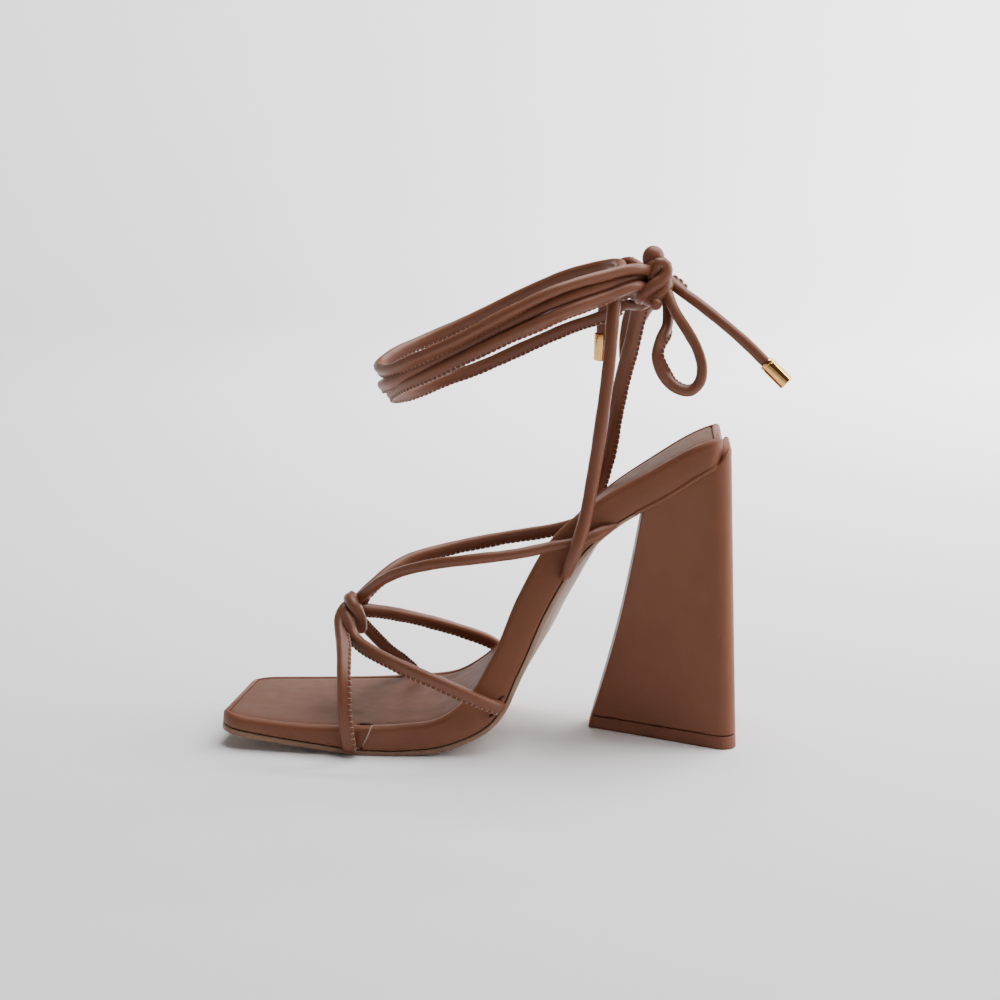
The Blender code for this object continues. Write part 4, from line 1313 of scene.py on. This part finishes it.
class SANDAL_OT_bow(bpy.types.Operator):
    """Tie the bow: its knot, two loops, two ends and their metal tips"""

    bl_idname = "sandal.bow"
    bl_label = "Bow"

    def execute(self, context):
        knot = finish_piece(
            knot_mesh(context, BOW_KNOT_BALLS, BOW_KNOT_WRAPS), "knot_of_bow", "strap_leather", "bow_knot")
        near = loop_run(BOW_LOOP_NEAR, LOOP_NEAR_ENDS, LOOP_NEAR_SEAM)
        far = loop_run(BOW_LOOP_FAR, LOOP_FAR_ENDS, {})
        self.cord(context, "loop_near", near, "bow_loop_near", "object", [knot])
        self.cord(context, "loop_far", far, "bow_loop_far", "object", [])
        for side, route in (("near", LACE_END_NEAR), ("far", LACE_END_FAR)):
            path = smooth_route(route, TIP_SPACING)[0]
            tip = dressed(context, aglet_mesh(path), TIP_SHARP, "tip_" + side, "gold_metal",
                          "aglet_" + side, "gold_metal")
            inside = path[-1] + tangents_of(path)[-1] * TIP_OVERLAP
            start = [LACE_END_STARTS[side], route[0]]
            end = joined((start, SEAM_UP), (route[1:], HIDDEN_SEAM), ([inside], HIDDEN_SEAM))
            self.cord(context, "end_" + side, end, "lace_end_" + side, "fitting", [tip])
        return {"FINISHED"}

    def cord(self, context, name, run, node, far_end, pieces):
        sizes = context.scene.sandal_sizes
        piece = finish_piece(rolled_mesh(context, [run]), name, "strap_leather", node)
        route = strand(run, sizes).path


class SANDAL_OT_platform(bpy.types.Operator):
    """Wrap the platform in leather, with its stitched notch"""

    bl_idname = "sandal.platform"
    bl_label = "Platform"

    def execute(self, context):
        mesh = platform_mesh(Last(context.scene.sandal_sizes))
        dressed(context, mesh, PLATFORM_SHARP, "platform", "tan_leather", "midsole", "tan_leather")
        for line in EDGE_LINES:
            dressed(context, edge_line_mesh(line), ROUND_SHARP, line.name, "tan_leather", "midsole",
                    line.material)
        return {"FINISHED"}


class SANDAL_OT_outsole(bpy.types.Operator):
    """Lay the thin outsole under the platform"""

    bl_idname = "sandal.outsole"
    bl_label = "Outsole"

    def execute(self, context):
        mesh = outsole_mesh(Last(context.scene.sandal_sizes))
        dressed(context, mesh, SOLE_SHARP, "outsole_leather", "sole_leather", "outsole",
                "sole_edge_with_painted_shade", "sole_bottom")
        widest = 0.02
        toe_facing = -0.7
        for face in mesh.polygons:
            ys = [mesh.vertices[v].co.y for v in face.vertices]
            if max(ys) - min(ys) > widest and face.normal.x > toe_facing:
                face.material_index = 1
        return {"FINISHED"}


class SANDAL_OT_sock(bpy.types.Operator):
    """Set the sock lining into the top of the platform"""

    bl_idname = "sandal.sock"
    bl_label = "Sock lining"

    def execute(self, context):
        mesh = sock_mesh(Last(context.scene.sandal_sizes))
        dressed(context, mesh, SOLE_SHARP, "sock_lining", "sock_leather", "insole", "sock_leather")
        return {"FINISHED"}


class SANDAL_OT_heel(bpy.types.Operator):
    """Cover the flared heel and put the top lift under it"""

    bl_idname = "sandal.heel"
    bl_label = "Heel"

    def execute(self, context):
        last = Last(context.scene.sandal_sizes)
        for mesh, angle, name, slot, node in (
                (heel_mesh(last), HEEL_SHARP, "heel_cover", "tan_leather", "heel"),
                (seat_edge_mesh(last), ROUND_SHARP, "seat_edge", "tan_leather", "heel"),
                (top_lift_mesh(), HEEL_SHARP, "heel_lift", "lift_rubber", "top_lift")):
            dressed(context, mesh, angle, name, slot, node, slot)
        return {"FINISHED"}


class SANDAL_OT_straps(bpy.types.Operator):
    """Run the six rolled straps from the knot over the toes to the sole"""

    bl_idname = "sandal.straps"
    bl_label = "Straps"

    def execute(self, context):
        for strap in STRAPS:
            finish_piece(rolled_mesh(context, [strap_run(strap)]), strap.name, "strap_leather", "upper")
        knot = knot_mesh(context, VAMP_KNOT_BALLS, VAMP_KNOT_WRAPS)
        finish_piece(knot, "knot_of_straps", "strap_leather", "upper")
        return {"FINISHED"}


class SANDAL_OT_laces(bpy.types.Operator):
    """Wind the two laces from the sole round the ankle"""

    bl_idname = "sandal.laces"
    bl_label = "Ankle laces"

    def execute(self, context):
        for name, run in (("lace_medial", medial_lace()), ("lace_lateral", lateral_lace())):
            finish_piece(rolled_mesh(context, [run]), name, "strap_leather", "ankle_lacing")
        return {"FINISHED"}


GROUPS = {"sandal_sizes": SandalSizes, "sandal_colours": SandalColours, "sandal_stage": SandalStage}
STEPS = (
    SANDAL_OT_stage, SANDAL_OT_bow, SANDAL_OT_platform, SANDAL_OT_outsole, SANDAL_OT_sock,
    SANDAL_OT_heel, SANDAL_OT_straps, SANDAL_OT_laces,
)


class SANDAL_PT_panel(bpy.types.Panel):
    """Lists the sandal's steps and sizes"""

    bl_idname = "SANDAL_PT_panel"
    bl_label = "Heeled sandal"
    bl_space_type = "VIEW_3D"
    bl_region_type = "UI"
    bl_category = "Sandal"

    def draw(self, context):
        for step in STEPS:
            self.layout.operator(step.bl_idname)
        for group in GROUPS:
            values = getattr(context.scene, group)
            for name in values.__annotations__:
                self.layout.prop(values, name)


def register():
    for item in (*GROUPS.values(), *STEPS, SANDAL_PT_panel):
        bpy.utils.register_class(item)
    for name, group in GROUPS.items():
        setattr(bpy.types.Scene, name, PointerProperty(type=group))


def unregister():
    for name in GROUPS:
        delattr(bpy.types.Scene, name)
    for item in (SANDAL_PT_panel, *reversed(STEPS), *GROUPS.values()):
        bpy.utils.unregister_class(item)


def main():
    register()
    for step in STEPS:
        getattr(bpy.ops.sandal, step.bl_idname.split(".")[1])()


if __name__ == "__main__":
    main()
